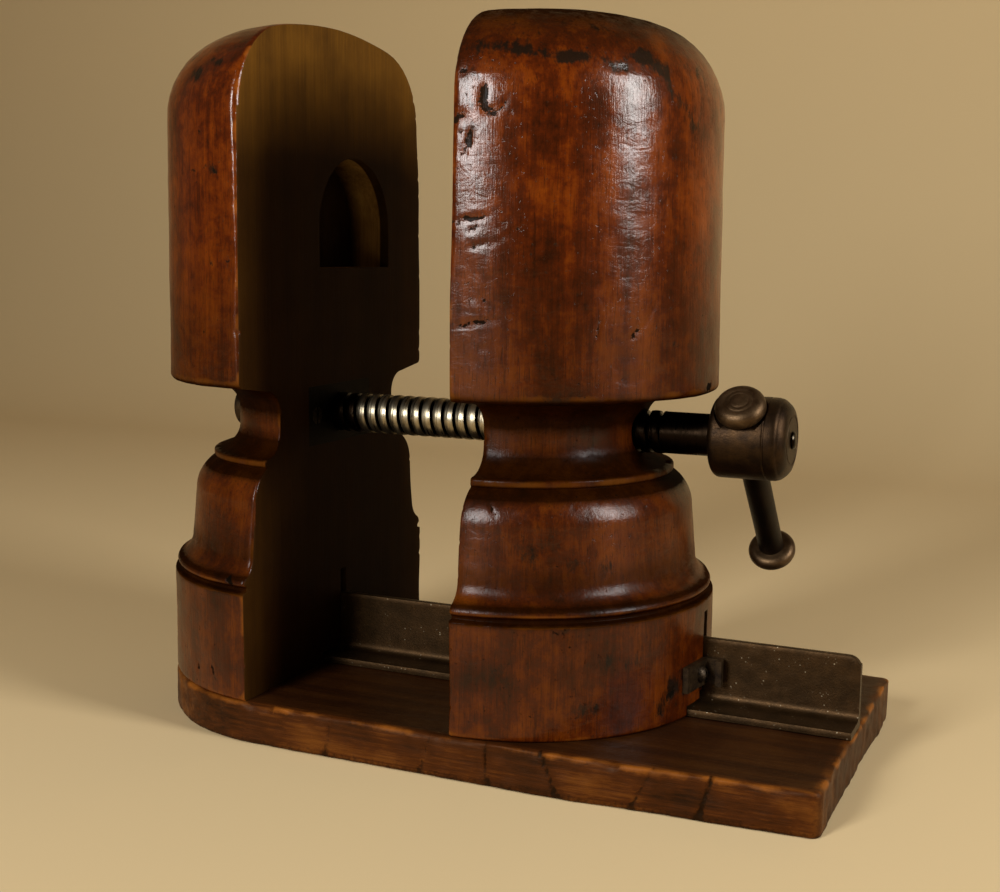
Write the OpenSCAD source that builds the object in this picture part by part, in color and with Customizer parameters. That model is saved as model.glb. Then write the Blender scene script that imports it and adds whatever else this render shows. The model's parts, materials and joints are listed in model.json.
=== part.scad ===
// Hat stretcher: a turned hardwood block sawn into two halves on a board.
// The left half is fixed. An iron screw pushes the right half along a rail.
// X runs along the screw, from the sawn face of the fixed half.
// Y runs to the back, Z runs up from the surface the board stands on.

/* [Opening] */
// Gap between the two sawn faces as shown
opening = 93.5; // [1:0.5:97]
// Saw and plane loss on the fixed half, short of the turning's axis
fixed_loss = 5.6; // [1:0.2:9]

/* [Board] */
// Thickness of the board
board_t = 17; // [12:0.5:30]
// Board standing out past the block's widest part on each side
board_margin = 0.6; // [0.2:0.1:12]
// Narrowing of each long side at the square end
board_taper = 5; // [0:0.5:12]
// Length of the narrowed stretch, back from the square end
board_taper_len = 105; // [60:1:140]
// Radius of the two corners at the square end
board_corner_r = 4; // [1:0.5:12]
// Board beyond the end of the rail
board_past_rail = 0.7; // [0.5:0.1:20]

/* [Plinth and bell] */
// Radius of the plinth
plinth_r = 78; // [70:0.5:90]
// Height of the plinth
plinth_h = 45.4; // [38:0.2:56]
// Depth of the quirk cut in above the plinth
quirk_d = 2.6; // [1:0.2:4]
// Height of the quirk
quirk_h = 2; // [1:0.2:4]
// How far the foot bead stays inside the plinth
bead_inset = 1; // [0.4:0.2:3]
// Height of the foot bead
bead_h = 3.8; // [2:0.2:6]
// Radius of the bell where the foot cove ends
bell_foot_r = 70.3; // [66:0.2:72]
// Height of the foot cove
foot_cove_h = 8.6; // [5:0.2:14]
// Radius of the bell under its shoulder
bell_top_r = 68.3; // [64:0.2:70]
// Height of the bell's straight side
bell_h = 20.2; // [12:0.2:30]
// Height of the bell's round shoulder
shoulder_h = 14.6; // [9:0.2:20]
// Radius of the bead on the shoulder
list_r = 60.4; // [57:0.2:63]
// Height of the bead on the shoulder
list_h = 3.4; // [2:0.2:6]
// Depth of the fine quirk under that bead
list_quirk = 0.9; // [0.4:0.1:2]

/* [Neck and crown] */
// Radius of the neck
neck_r = 48.8; // [44:0.2:52]
// Height of the cove under the neck
low_cove_h = 11; // [7:0.2:14]
// Height of the neck's straight part
neck_h = 7; // [4:0.2:14]
// Height of the cove over the neck
high_cove_h = 10.5; // [7:0.2:14]
// Width of the cove over the neck
high_cove_w = 10.5; // [7:0.2:14]
// Rise of the crown's underside from the cove to the rim
under_rise = 2.4; // [1:0.2:6]
// Radius of the crown at its rim
crown_r = 78; // [70:0.5:90]
// Rounding of the rim
rim_round = 2.2; // [1:0.2:4]
// Height of the crown's side
crown_side_h = 107; // [80:1:130]
// Inward lean of the crown's side over its height
crown_lean = 1; // [0:0.2:4]
// How far the dome's shoulder comes in
dome_in = 30; // [20:0.5:38]
// Height of the dome's shoulder
dome_shoulder_h = 36.3; // [30:0.5:45]
// Rise of the top inside the shoulder
dome_rise = 4.5; // [2:0.5:12]

/* [Pocket] */
// Radius of the pocket's round head in the fixed face
pocket_r = 30.5; // [20:0.5:36]
// Height of the pocket's upright sides
pocket_side_h = 18; // [8:0.5:30]
// Distance of the pocket's middle behind the screw's axis
pocket_back = 14.5; // [0:0.5:24]
// Depth of the pocket
pocket_depth = 20.5; // [8:0.5:26]
// Height of the pocket's floor above the crown's rim
pocket_above_rim = 47.5; // [30:0.5:60]

/* [Rail] */
// Height of the rail's upright web
rail_h = 29; // [20:0.5:38]
// Thickness of the rail
rail_t = 3.2; // [2:0.1:5]
// Width of the rail's foot in front of the web
rail_foot = 15.5; // [12:0.5:24]
// Fillet between web and foot
rail_fillet = 3; // [1:0.5:5]
// Radius of the web's top corner at the tail
rail_corner_r = 5; // [2:0.5:10]
// Rail let into the fixed half
rail_lap = 30; // [20:1:45]
// Rail showing beyond the moving half
rail_tail = 63.3; // [30:0.5:120]
// Headroom of the slot over the web
slot_headroom = 11; // [3:0.5:16]
// Room between slot and rail on each side
slot_side_gap = 0.8; // [0.4:0.1:2]
// Room over the rail's foot in the rebate
foot_headroom = 1.4; // [0.5:0.1:3]
// Gap under the sliding half
slide_gap = 0.2; // [0.1:0.05:0.5]

/* [Spindle] */
// Outside diameter of the thread
thread_d = 17.5; // [15:0.1:20]
// Pitch of the thread
thread_pitch = 5.4; // [4.6:0.1:6.4]
// Depth of the thread
thread_depth = 2.4; // [1.6:0.1:2.8]
// Width of the thread's crest
crest_w = 2.9; // [2.2:0.1:3.1]
// Slant of each flank along the axis
flank_run = 0.35; // [0.1:0.05:0.5]
// Diameter of the plain tail
tail_d = 11; // [8:0.2:12]
// Diameter of the plain shank and of the spigot in the boss
shank_d = 17; // [15:0.1:19]
// Length of the shoulder against the thrust plate
shoulder_len = 3.4; // [2:0.2:6]
// Plain shank in front of the boss
shank_len = 11; // [5:0.5:16]
// Diameter of the pip on the spindle's end
pip_d = 6.6; // [4:0.2:10]
// Height of the pip
pip_h = 1.5; // [0.5:0.1:3]

/* [Boss and tommy bar] */
// Diameter of the boss
boss_d = 33; // [28:0.5:38]
// Length of the boss
boss_len = 30.5; // [26:0.5:42]
// Gap between the crown's rim and the boss as shown
boss_gap = 2.5; // [0.5:0.5:10]
// Rounding of the boss's inner edge
boss_round = 3; // [1:0.5:5]
// Length of the chamfer on the boss's outer end
boss_chamfer = 3.6; // [1:0.2:6]
// How far that chamfer comes in
boss_chamfer_in = 2.5; // [1:0.1:5]
// Bar hole, from the inner face of the boss
bar_from_face = 12.5; // [12:0.5:18]
// Diameter of the tommy bar
bar_d = 10.8; // [8:0.2:13]
// Length of the bar between its knobs
bar_len = 87.5; // [70:0.5:96]
// Lean of the bar from upright as shown
bar_lean = 42; // [0:1:90]
// Diameter of the knobs
knob_d = 19.6; // [16:0.2:24]
// Height of the knobs
knob_h = 7.6; // [6:0.2:12]
// Straight band at the foot of a knob
knob_band = 2; // [1:0.2:4]
// Diameter of the bar's riveted ends
rivet_d = 7; // [5:0.2:8]

/* [Bearing] */
// Width of the thrust plate and of the nut's plate
plate_w = 52; // [40:1:64]
// Height of both plates
plate_h = 26; // [22:0.5:32]
// Thickness of the thrust plate
plate_t = 3; // [2:0.2:5]
// Distance of a plate's screws from the axis
plate_screw_off = 19; // [16:0.5:24]
// Depth of the washer's seat in the back of the fixed neck
seat_depth = 5; // [3:0.2:8]
// Diameter of the tail washer
washer_d = 24; // [20:0.5:30]
// Thickness of the tail washer
washer_t = 2.5; // [1.5:0.1:4]
// Diameter of the tail collar
collar_d = 19; // [15:0.5:22]
// Length of the tail collar
collar_len = 10; // [7:0.5:14]
// Diameter of the collar's pin
pin_d = 3.2; // [2:0.2:4]
// Tail standing out past the collar
tail_end = 1; // [0.5:0.1:4]

/* [Nut] */
// Thickness of the nut's plate
nut_plate_t = 4; // [3:0.2:6]
// Diameter of the nut's sleeve
nut_d = 26; // [23:0.5:32]
// Length of the sleeve behind the plate
nut_len = 22; // [14:0.5:30]

/* [Clip] */
// Thickness of the strap
clip_t = 2.4; // [1.5:0.1:4]
// Height of the strap
clip_h = 10.4; // [7:0.2:16]
// Width of the strap's foot on the plinth
clip_foot = 16; // [12:0.5:22]
// Strap along the rail, past the plinth
clip_reach = 9; // [6:0.5:14]
// Turned-out lip at the strap's end
clip_lip = 3; // [2:0.2:6]
// Middle of the strap above the board
clip_mid_h = 16.2; // [13:0.2:22]
// Strap between the web and the foot's inner end
clip_bend = 4.2; // [3.5:0.1:8]
// Head diameter of the clip's round-head screw
clip_head_d = 7; // [5:0.2:8]
// Height of that head
clip_head_h = 2.6; // [2:0.1:4]
// Screw beside the middle of the foot, towards the rail
clip_screw_off = 4; // [0:0.2:4.4]

/* [Wood screws] */
// Head diameter of the large screws under the board
big_head_d = 11; // [8:0.5:14]
// Shank diameter of the large screws
big_shank_d = 5.5; // [4:0.1:7]
// Length of the large screws
big_len = 48; // [35:1:60]
// Head diameter of the small screws
small_head_d = 7.6; // [6:0.2:9]
// Shank diameter of the small screws
small_shank_d = 3.8; // [3:0.1:4.4]
// Length of the small screws
small_len = 14; // [10:0.5:18]
// Width of the slot in the heads
slot_w = 1.2; // [0.8:0.1:1.6]
// Depth of that slot
slot_depth = 0.9; // [0.5:0.1:1.2]
// Depth that the heads under the board are sunk
head_sink = 0.6; // [0.2:0.1:1.5]
// Spacing of the rail's screws along the slide
rail_screw_pitch = 40; // [30:1:45]
// First of these screws, in front of the moving half's face
rail_screw_first = 20; // [10:1:35]
// Distance of the two side screws from the middle of the fixed half
side_screw_y = 50; // [30:1:60]
// Distance of the side screws behind the sawn face
side_screw_x = 22; // [14:1:30]
// Distance of the rear screw behind the sawn face
rear_screw_x = 52; // [45:1:60]

/* [Hidden] */
// Radial room of a turning fit
run_gap = 0.06;
// Gap between faces that move past each other
end_gap = 0.3;
// Room round a piece that is let in or driven in
fit_gap = 0.03;
// Room round a screw's shank in wood
bite_gap = 0.1;
// Overlap that makes a cut clean
cut = 1;
// Steps of the thread in one turn
thread_steps = 16;
// Room round the thread in the nut
thread_gap = 0.2;
// Points on each curve of the turned profile
curve_steps = 7;
// Length of a cut that goes right through a half
reach = 4 * plinth_r;

// Heights of the turned profile above the board
quirk_z = plinth_h;
bead_z = quirk_z + quirk_h;
cove_z = bead_z + bead_h;
bell_z = cove_z + foot_cove_h;
shoulder_z = bell_z + bell_h;
list_z = shoulder_z + shoulder_h;
low_cove_z = list_z + list_h;
neck_z = low_cove_z + low_cove_h;
high_cove_z = neck_z + neck_h;
under_z = high_cove_z + high_cove_h;
rim_z = under_z + under_rise;
side_z = rim_z + rim_round;
dome_z = side_z + crown_side_h;
top_z = dome_z + dome_shoulder_h;

// The screw's axis runs through the middle of the neck
axis_z = board_t + neck_z + neck_h / 2;
thread_r = thread_d / 2;
root_r = thread_r - thread_depth;
groove_mouth = thread_pitch - crest_w;
groove_foot = groove_mouth - 2 * flank_run;
tail_r = tail_d / 2;
shank_r = shank_d / 2;
boss_r = boss_d / 2;
bar_r = bar_d / 2;
knob_r = knob_d / 2;
washer_r = washer_d / 2;

// Stations along the screw
seat_x = fixed_loss - neck_r + seat_depth;
collar_x = seat_x - washer_t - end_gap;
tail_x = collar_x - collar_len - tail_end;
groove_x = end_gap + shoulder_len + groove_mouth / 2;
boss_x = opening + crown_r + boss_gap;
shank_x = boss_x - shank_len;
bar_x = boss_x + bar_from_face;
boss_end_x = boss_x + boss_len;

// Stations along the rail and the board
rail_end_x = opening + plinth_r + rail_tail;
board_end_x = rail_end_x + board_past_rail;
block_r = max(plinth_r, crown_r);
board_half = block_r + board_margin;
board_end_half = board_half - board_taper;

// Bar positions from the screw's axis, the near knob resting on the boss
near_face = boss_r + end_gap;
far_face = bar_len - near_face;

// Turn of the clip's foot round the plinth's axis
foot_turn = -asin((clip_bend + clip_foot / 2) / plinth_r);
// Distance of the flat under the clip's foot from that axis
foot_flat = sqrt(plinth_r * plinth_r - pow(clip_foot / 2 + bite_gap, 2));

// Points of an arc that leaves [r0, z0] upright and ends at [r1, z1]
function swoop(r0, z0, r1, z1) =
    let (dr = r1 - r0)
    let (dz = z1 - z0)
    let (rho = (dr * dr + dz * dz) / (2 * abs(dr)))
    let (turn = atan2(abs(dz), rho - abs(dr)))
    [for (i = [0 : curve_steps])
        let (a = turn * i / curve_steps)
        [r0 + sign(dr) * rho * (1 - cos(a)), z0 + sign(dz) * rho * sin(a)]];

// The same arc listed from its end to its start
function swoop_back(r0, z0, r1, z1) =
    let (points = swoop(r0, z0, r1, z1))
    [for (i = [curve_steps : -1 : 0]) points[i]];

// Points of the low top, from the dome's shoulder in to the axis
function top_curve(edge_r, edge_z) =
    let (rho = (edge_r * edge_r + dome_rise * dome_rise) / (2 * dome_rise))
    let (span = asin(edge_r / rho))
    [for (i = [1 : curve_steps])
        let (a = span * (1 - i / curve_steps))
        [rho * sin(a), edge_z + dome_rise - rho * (1 - cos(a))]];

// Half section of the turned block, radius against height above the board
function turned_profile() =
    let (bead_r = plinth_r - bead_inset)
    let (cove_edge_r = bead_r - bead_inset)
    let (side_top_r = crown_r - crown_lean)
    concat(
        [[0, 0], [plinth_r, 0], [plinth_r, plinth_h], [plinth_r - quirk_d, quirk_z + quirk_h / 4]],
        [[plinth_r - quirk_d, bead_z], [bead_r, bead_z + bead_h / 4], [bead_r, bead_z + bead_h / 2]],
        swoop_back(bell_foot_r, bell_z, cove_edge_r, cove_z),
        swoop(bell_top_r, shoulder_z, list_r - list_quirk, list_z),
        [[list_r, list_z + list_quirk / 2], [list_r, low_cove_z - list_quirk / 2]],
        swoop_back(neck_r, neck_z, list_r - list_quirk, low_cove_z),
        swoop(neck_r, high_cove_z, neck_r + high_cove_w, under_z),
        swoop_back(crown_r, side_z, crown_r - rim_round, rim_z),
        swoop(side_top_r, dome_z, side_top_r - dome_in, top_z),
        top_curve(side_top_r - dome_in, top_z));

module turned_block() {
    translate([0, 0, board_t]) rotate_extrude($fn = 128) polygon(turned_profile());
}

// A cylinder that starts at x and runs along +X at the height of the screw
module bar_along_x(x, len, r) {
    translate([x, 0, axis_z]) rotate([0, 90, 0]) cylinder(h = len, r = r, $fn = 64);
}

// A slotted countersunk screw, its head's face at the origin, pointing down
module wood_screw(head_d, shank_d, len) {
    head_h = (head_d - shank_d) / 2;
    difference() {
        union() {
            translate([0, 0, -head_h]) cylinder(h = head_h, d1 = shank_d, d2 = head_d, $fn = 32);
            translate([0, 0, -len]) cylinder(h = len - head_h, d = shank_d, $fn = 32);
        }
        translate([-head_d / 2, -slot_w / 2, -slot_depth]) cube([head_d, slot_w, slot_depth + cut]);
    }
}

// A dome of height h on a flat round face at the origin
module dome(r, h) {
    rho = (r * r + h * h) / (2 * h);
    intersection() {
        translate([0, 0, h - rho]) sphere(r = rho, $fn = 64);
        cylinder(h = h, r = r, $fn = 64);
    }
}

// A slotted round-head screw, its head standing on the origin, pointing down
module round_screw(head_d, head_h, shank_d, len) {
    difference() {
        union() {
            dome(head_d / 2, head_h);
            translate([0, 0, -len]) cylinder(h = len + head_h / 2, d = shank_d, $fn = 32);
        }
        translate([-head_d / 2, -slot_w / 2, head_h - slot_depth]) cube([head_d, slot_w, slot_depth + cut]);
    }
}

// The plain hole for such a screw's shank
module shank_hole(shank_d, len) {
    translate([0, 0, -len - bite_gap])
        cylinder(h = len + bite_gap + cut, d = shank_d + 2 * bite_gap, $fn = 32);
}

// The hole that such a screw fills, open above its head
module screw_hole(head_d, shank_d, len) {
    head_h = (head_d - shank_d) / 2;
    translate([0, 0, -head_h])
        cylinder(h = head_h, d1 = shank_d + 2 * bite_gap, d2 = head_d + 2 * bite_gap, $fn = 32);
    cylinder(h = cut, d = head_d + 2 * bite_gap, $fn = 32);
    translate([0, 0, -len - bite_gap])
        cylinder(h = len + bite_gap - head_h, d = shank_d + 2 * bite_gap, $fn = 32);
}

module at_half_screws() {
    for (p = [[-side_screw_x, -side_screw_y], [-side_screw_x, side_screw_y], [-rear_screw_x, 0]])
        translate([p[0], p[1], head_sink]) rotate([180, 0, 0]) children();
}

module at_rail_screws() {
    slide_x = [for (i = [0 : 2]) opening - rail_screw_first + i * rail_screw_pitch];
    for (x = concat([-rail_lap / 2], slide_x))
        translate([x, -rail_foot / 2, board_t + rail_t]) children();
}

// The two screws of a plate whose face lies at x, going into the wood along dir
module at_plate_screws(x, dir) {
    for (side = [-1, 1])
        translate([x, side * plate_screw_off, axis_z]) rotate([0, dir * -90, 0]) children();
}

// A plate in the plane of a sawn face, from x over t along X
module face_plate(x, t, grow) {
    translate([x, -plate_w / 2 - grow, axis_z - plate_h / 2 - grow])
        cube([t, plate_w + 2 * grow, plate_h + 2 * grow]);
}

// The room that the rail takes in the foot of a half, from x over len
module rail_room(x, len) {
    translate([x, -slot_side_gap, board_t - cut])
        cube([len, rail_t + 2 * slot_side_gap, rail_h + slot_headroom + cut]);
    translate([x, -rail_foot - slot_side_gap, board_t - cut])
        cube([len, rail_foot + 2 * slot_side_gap, rail_t + foot_headroom + cut]);
    translate([x, -rail_fillet - slot_side_gap, board_t])
        cube([len, rail_fillet + 2 * slot_side_gap, rail_t + rail_fillet + foot_headroom]);
}

// The metal that the thread's groove takes away: a right-hand ribbon wound round the screw's axis
// from x0 to x1, foot wide at the radius root, opening with the flanks and standing out past rim
module groove(x0, x1, root, rim, foot) {
    k = thread_steps;
    step = thread_pitch / k;
    out = rim + cut;
    mouth = foot + 2 * (out - root) * flank_run / thread_depth;
    n = floor((x1 - x0) / step);
    corners = [[-foot / 2, root], [foot / 2, root], [mouth / 2, out], [-mouth / 2, out]];
    points = [for (i = [0 : n], c = corners)
        [x0 + step * i + c[0], c[1] * cos(360 * i / k), c[1] * sin(360 * i / k)]];
    function p(i, j) = 4 * i + j % 4;
    sides = [for (i = [0 : n - 1], j = [0 : 3], f = [0, 1])
        f == 0 ? [p(i, j), p(i + 1, j + 1), p(i, j + 1)] : [p(i, j), p(i + 1, j), p(i + 1, j + 1)]];
    ends = [[p(0, 0), p(0, 1), p(0, 2), p(0, 3)], [p(n, 3), p(n, 2), p(n, 1), p(n, 0)]];
    translate([0, 0, axis_z]) polyhedron(points, concat(sides, ends));
}

// Local frame of the tommy bar: Z runs along the bar towards its near knob
module along_bar() {
    translate([bar_x, 0, axis_z]) rotate([bar_lean, 0, 0]) children();
}

module bar_hole() {
    along_bar() translate([0, 0, -boss_d]) cylinder(h = 2 * boss_d, r = bar_r + run_gap, $fn = 64);
}

// A domed button standing on its flat face, drilled for the bar's riveted end
module knob() {
    difference() {
        union() {
            cylinder(h = knob_band, r = knob_r, $fn = 64);
            translate([0, 0, knob_band]) dome(knob_r, knob_h - knob_band);
        }
        translate([0, 0, -cut]) cylinder(h = knob_h + 2 * cut, d = rivet_d + 2 * fit_gap, $fn = 48);
    }
}

// Frame of the clip's foot: X points out of the plinth through the foot's middle
module at_clip_foot() {
    translate([opening, 0, board_t + clip_mid_h]) rotate([0, 0, foot_turn]) children();
}

module at_clip_screw() {
    at_clip_foot() translate([foot_flat + clip_t, clip_screw_off, 0]) rotate([0, 90, 0]) children();
}

module base_board() {
    taper_x = board_end_x - board_taper_len;
    corner_x = board_end_x - board_corner_r;
    corner_y = board_end_half - board_corner_r;
    color("#4a2c18") difference() {
        linear_extrude(board_t) union() {
            difference() {
                translate([fixed_loss, 0]) circle(r = board_half, $fn = 128);
                translate([fixed_loss, -2 * board_half]) square([2 * board_half, 4 * board_half]);
            }
            polygon([[fixed_loss, -board_half], [taper_x, -board_half], [corner_x, -board_end_half],
                [corner_x, board_end_half], [taper_x, board_half], [fixed_loss, board_half]]);
            translate([corner_x - board_corner_r, -corner_y]) square([2 * board_corner_r, 2 * corner_y]);
            for (side = [-1, 1])
                translate([corner_x, side * corner_y]) circle(r = board_corner_r, $fn = 48);
        }
        at_half_screws() screw_hole(big_head_d, big_shank_d, big_len);
        at_rail_screws() screw_hole(small_head_d, small_shank_d, small_len);
    }
}

module half_screws() {
    color("#3b3a38") at_half_screws() wood_screw(big_head_d, big_shank_d, big_len);
}

module guide_rail() {
    len = rail_end_x + rail_lap;
    color("#35302a") difference() {
        translate([-rail_lap, 0, board_t]) union() {
            translate([0, rail_t, 0]) rotate([90, 0, 0]) linear_extrude(rail_t) union() {
                square([len, rail_h - rail_corner_r]);
                square([len - rail_corner_r, rail_h]);
                translate([len - rail_corner_r, rail_h - rail_corner_r]) circle(r = rail_corner_r, $fn = 48);
            }
            translate([0, -rail_foot, 0]) cube([len, rail_foot + rail_t / 2, rail_t]);
            rotate([90, 0, 90]) linear_extrude(len) difference() {
                translate([-rail_fillet, rail_t / 2]) square(rail_fillet + rail_t / 2);
                translate([-rail_fillet, rail_t + rail_fillet]) circle(r = rail_fillet, $fn = 48);
            }
        }
        at_rail_screws() screw_hole(small_head_d, small_shank_d, small_len);
    }
}

module rail_screws() {
    color("#2d2a26") at_rail_screws() wood_screw(small_head_d, small_shank_d, small_len);
}

module fixed_half() {
    color("#6b2f14") difference() {
        translate([fixed_loss, 0, 0]) turned_block();
        translate([0, -reach / 2, 0]) cube([reach, reach, board_t + 2 * top_z]);
        rail_room(-rail_lap - bite_gap, rail_lap + cut);
        face_plate(-plate_t, plate_t + cut, fit_gap);
        bar_along_x(-reach, reach, tail_r + run_gap);
        bar_along_x(seat_x - reach, reach, washer_r + fit_gap);
        at_plate_screws(0, -1) screw_hole(small_head_d, small_shank_d, small_len);
        at_half_screws() screw_hole(big_head_d, big_shank_d, big_len);
        translate([-pocket_depth, pocket_back, board_t + rim_z + pocket_above_rim]) rotate([90, 0, 90])
            linear_extrude(pocket_depth + cut) pocket_face();
    }
}

// The pocket's mouth: upright sides on a flat floor, under a round head
module pocket_face() {
    translate([-pocket_r, 0]) square([2 * pocket_r, pocket_side_h]);
    translate([0, pocket_side_h]) difference() {
        circle(r = pocket_r, $fn = 96);
        translate([-2 * pocket_r, -4 * pocket_r - cut]) square(4 * pocket_r);
    }
}

module thrust_plate() {
    color("#33302c") difference() {
        face_plate(-plate_t, plate_t, 0);
        bar_along_x(-plate_t - cut, plate_t + 2 * cut, tail_r + run_gap);
        at_plate_screws(0, -1) screw_hole(small_head_d, small_shank_d, small_len);
    }
}

module thrust_plate_screws() {
    color("#2d2a26") at_plate_screws(0, -1) wood_screw(small_head_d, small_shank_d, small_len);
}

module spindle() {
    color("#8a8781") difference() {
        union() {
            bar_along_x(tail_x, end_gap - tail_x + cut, tail_r);
            bar_along_x(end_gap, shank_x - end_gap, thread_r);
            bar_along_x(shank_x - cut, boss_end_x - shank_x + cut, shank_r);
            bar_along_x(boss_end_x - cut, pip_h + cut, pip_d / 2);
        }
        groove(groove_x, shank_x - groove_mouth / 2, root_r, thread_r, groove_foot);
        bar_hole();
        collar_pin_hole();
    }
}

module collar_pin_hole() {
    translate([collar_x - collar_len / 2, 0, axis_z - collar_d])
        cylinder(h = 2 * collar_d, d = pin_d + 2 * fit_gap, $fn = 32);
}

module tail_washer() {
    color("#33302c") difference() {
        bar_along_x(seat_x - washer_t, washer_t, washer_r);
        bar_along_x(seat_x - washer_t - cut, washer_t + 2 * cut, tail_r + run_gap);
    }
}

module tail_collar() {
    color("#33302c") difference() {
        bar_along_x(collar_x - collar_len, collar_len, collar_d / 2);
        bar_along_x(collar_x - collar_len - cut, collar_len + 2 * cut, tail_r + fit_gap);
        collar_pin_hole();
    }
}

module collar_pin() {
    color("#4a4742") translate([collar_x - collar_len / 2, 0, axis_z - collar_d / 2])
        cylinder(h = collar_d, d = pin_d, $fn = 32);
}

// The boss is turned: a round inner edge, a chamfer on the outer end
module spindle_boss() {
    color("#3a322a") difference() {
        translate([boss_x, 0, axis_z]) rotate([0, 90, 0]) rotate_extrude($fn = 96) union() {
            square([boss_r - boss_round, 2 * boss_round]);
            translate([boss_r - boss_round, boss_round]) circle(r = boss_round, $fn = 48);
            polygon([[0, boss_round], [boss_r, boss_round], [boss_r, boss_len - boss_chamfer],
                [boss_r - boss_chamfer_in, boss_len], [0, boss_len]]);
        }
        bar_along_x(boss_x - cut, boss_len + 2 * cut, shank_r + fit_gap);
        bar_hole();
    }
}

module tommy_bar() {
    color("#352d26") along_bar() {
        translate([0, 0, -far_face]) cylinder(h = bar_len, r = bar_r, $fn = 64);
        translate([0, 0, -far_face - knob_h]) cylinder(h = bar_len + 2 * knob_h, d = rivet_d, $fn = 48);
    }
}

module near_knob() {
    color("#3f362d") along_bar() translate([0, 0, near_face]) knob();
}

module far_knob() {
    color("#3f362d") along_bar() translate([0, 0, -far_face]) rotate([180, 0, 0]) knob();
}

module moving_half() {
    color("#7a3517") difference() {
        translate([opening, 0, 0]) turned_block();
        translate([opening - reach, -reach / 2, 0]) cube([reach, reach, board_t + 2 * top_z]);
        translate([opening - cut, -reach / 2, 0]) cube([reach, reach, board_t + slide_gap]);
        rail_room(opening - cut, reach);
        face_plate(opening - cut, nut_plate_t + cut, fit_gap);
        bar_along_x(opening, nut_plate_t + nut_len, nut_d / 2 + fit_gap);
        bar_along_x(opening, reach, thread_r + end_gap);
        at_plate_screws(opening, 1) screw_hole(small_head_d, small_shank_d, small_len);
        at_clip_foot() translate([foot_flat, -clip_foot / 2 - bite_gap, -clip_h / 2 - bite_gap])
            cube([clip_foot, clip_foot + 2 * bite_gap, clip_h + 2 * bite_gap]);
        at_clip_screw() shank_hole(small_shank_d, small_len);
    }
}

// The nut's ridge lies in the spindle's groove, with the thread's room all round.
// Its mouth is plain, so that the closed nut swallows the spindle's shoulder.
module spindle_nut() {
    len = nut_plate_t + nut_len;
    tap_r = thread_r + thread_gap;
    ridge_r = (root_r + thread_gap) / cos(180 / thread_steps);
    ridge_x = groove_x + thread_pitch * ceil(opening / thread_pitch);
    color("#33302c") difference() {
        union() {
            face_plate(opening, nut_plate_t, 0);
            bar_along_x(opening, len, nut_d / 2);
        }
        difference() {
            bar_along_x(opening - cut, len + 2 * cut, tap_r);
            groove(ridge_x, opening + len + thread_pitch, ridge_r, tap_r, groove_foot - 2 * thread_gap);
        }
        at_plate_screws(opening, 1) screw_hole(small_head_d, small_shank_d, small_len);
    }
}

module nut_screws() {
    color("#2d2a26") at_plate_screws(opening, 1) wood_screw(small_head_d, small_shank_d, small_len);
}

// Plan of the strap: its foot lies on the plinth and its arm runs out along the rail's web
module clip_plan() {
    turn_y = clip_bend + cut;
    translate([opening, 0]) rotate(foot_turn) translate([foot_flat, -clip_foot / 2])
        square([clip_t, clip_foot]);
    translate([opening + plinth_r + bite_gap, -end_gap - clip_t]) {
        square([clip_reach, clip_t]);
        translate([0, end_gap + clip_t - turn_y]) square([clip_t, turn_y - end_gap]);
        translate([clip_reach - clip_t, -clip_lip]) square([clip_t, clip_lip + clip_t]);
    }
}

module guide_clip() {
    color("#26231f") difference() {
        translate([0, 0, board_t + clip_mid_h - clip_h / 2]) linear_extrude(clip_h) clip_plan();
        at_clip_screw() shank_hole(small_shank_d, small_len);
    }
}

module clip_screw() {
    color("#2d2a26") at_clip_screw() round_screw(clip_head_d, clip_head_h, small_shank_d, small_len);
}

base_board();
half_screws();
guide_rail();
rail_screws();
fixed_half();
thrust_plate();
thrust_plate_screws();
spindle();
tail_washer();
tail_collar();
collar_pin();
spindle_boss();
tommy_bar();
near_knob();
far_knob();
moving_half();
spindle_nut();
nut_screws();
guide_clip();
clip_screw();
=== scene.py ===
import json
import math
from typing import NamedTuple

import bmesh
import bpy
import numpy as np
from mathutils import Matrix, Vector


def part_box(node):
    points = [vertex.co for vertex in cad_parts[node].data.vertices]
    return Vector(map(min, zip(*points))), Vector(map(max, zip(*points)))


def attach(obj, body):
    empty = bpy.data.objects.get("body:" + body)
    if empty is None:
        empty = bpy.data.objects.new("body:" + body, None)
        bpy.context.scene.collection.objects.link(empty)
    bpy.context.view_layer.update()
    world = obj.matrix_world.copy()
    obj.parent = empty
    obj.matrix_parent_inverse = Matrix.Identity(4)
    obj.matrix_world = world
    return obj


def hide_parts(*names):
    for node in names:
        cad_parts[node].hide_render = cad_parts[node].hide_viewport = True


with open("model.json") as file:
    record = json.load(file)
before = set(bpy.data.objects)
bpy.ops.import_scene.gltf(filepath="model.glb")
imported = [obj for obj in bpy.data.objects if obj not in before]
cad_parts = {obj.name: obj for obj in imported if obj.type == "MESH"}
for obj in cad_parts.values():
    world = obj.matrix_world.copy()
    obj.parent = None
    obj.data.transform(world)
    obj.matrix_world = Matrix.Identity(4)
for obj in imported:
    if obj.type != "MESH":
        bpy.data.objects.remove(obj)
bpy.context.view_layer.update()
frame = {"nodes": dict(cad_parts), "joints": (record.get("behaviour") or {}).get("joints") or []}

bl_info = {
    "name": "Hat Stretcher",
    "version": (1, 0, 0),
    "blender": (4, 5, 0),
    "location": "3D View > Sidebar > Hat Stretcher",
    "description": "Builds a screw hat stretcher: turned halves, board, rail, screw and tommy bar",
    "category": "Add Mesh",
}

# All sizes below are millimetres, unless a name says otherwise. Meshes are written in metres.
MM = 0.001


def node_box(node):
    """Lowest and highest corner of a construction node, in millimetres."""
    low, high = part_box(node)
    return np.round(np.array(low) / MM, 1), np.round(np.array(high) / MM, 1)


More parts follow.
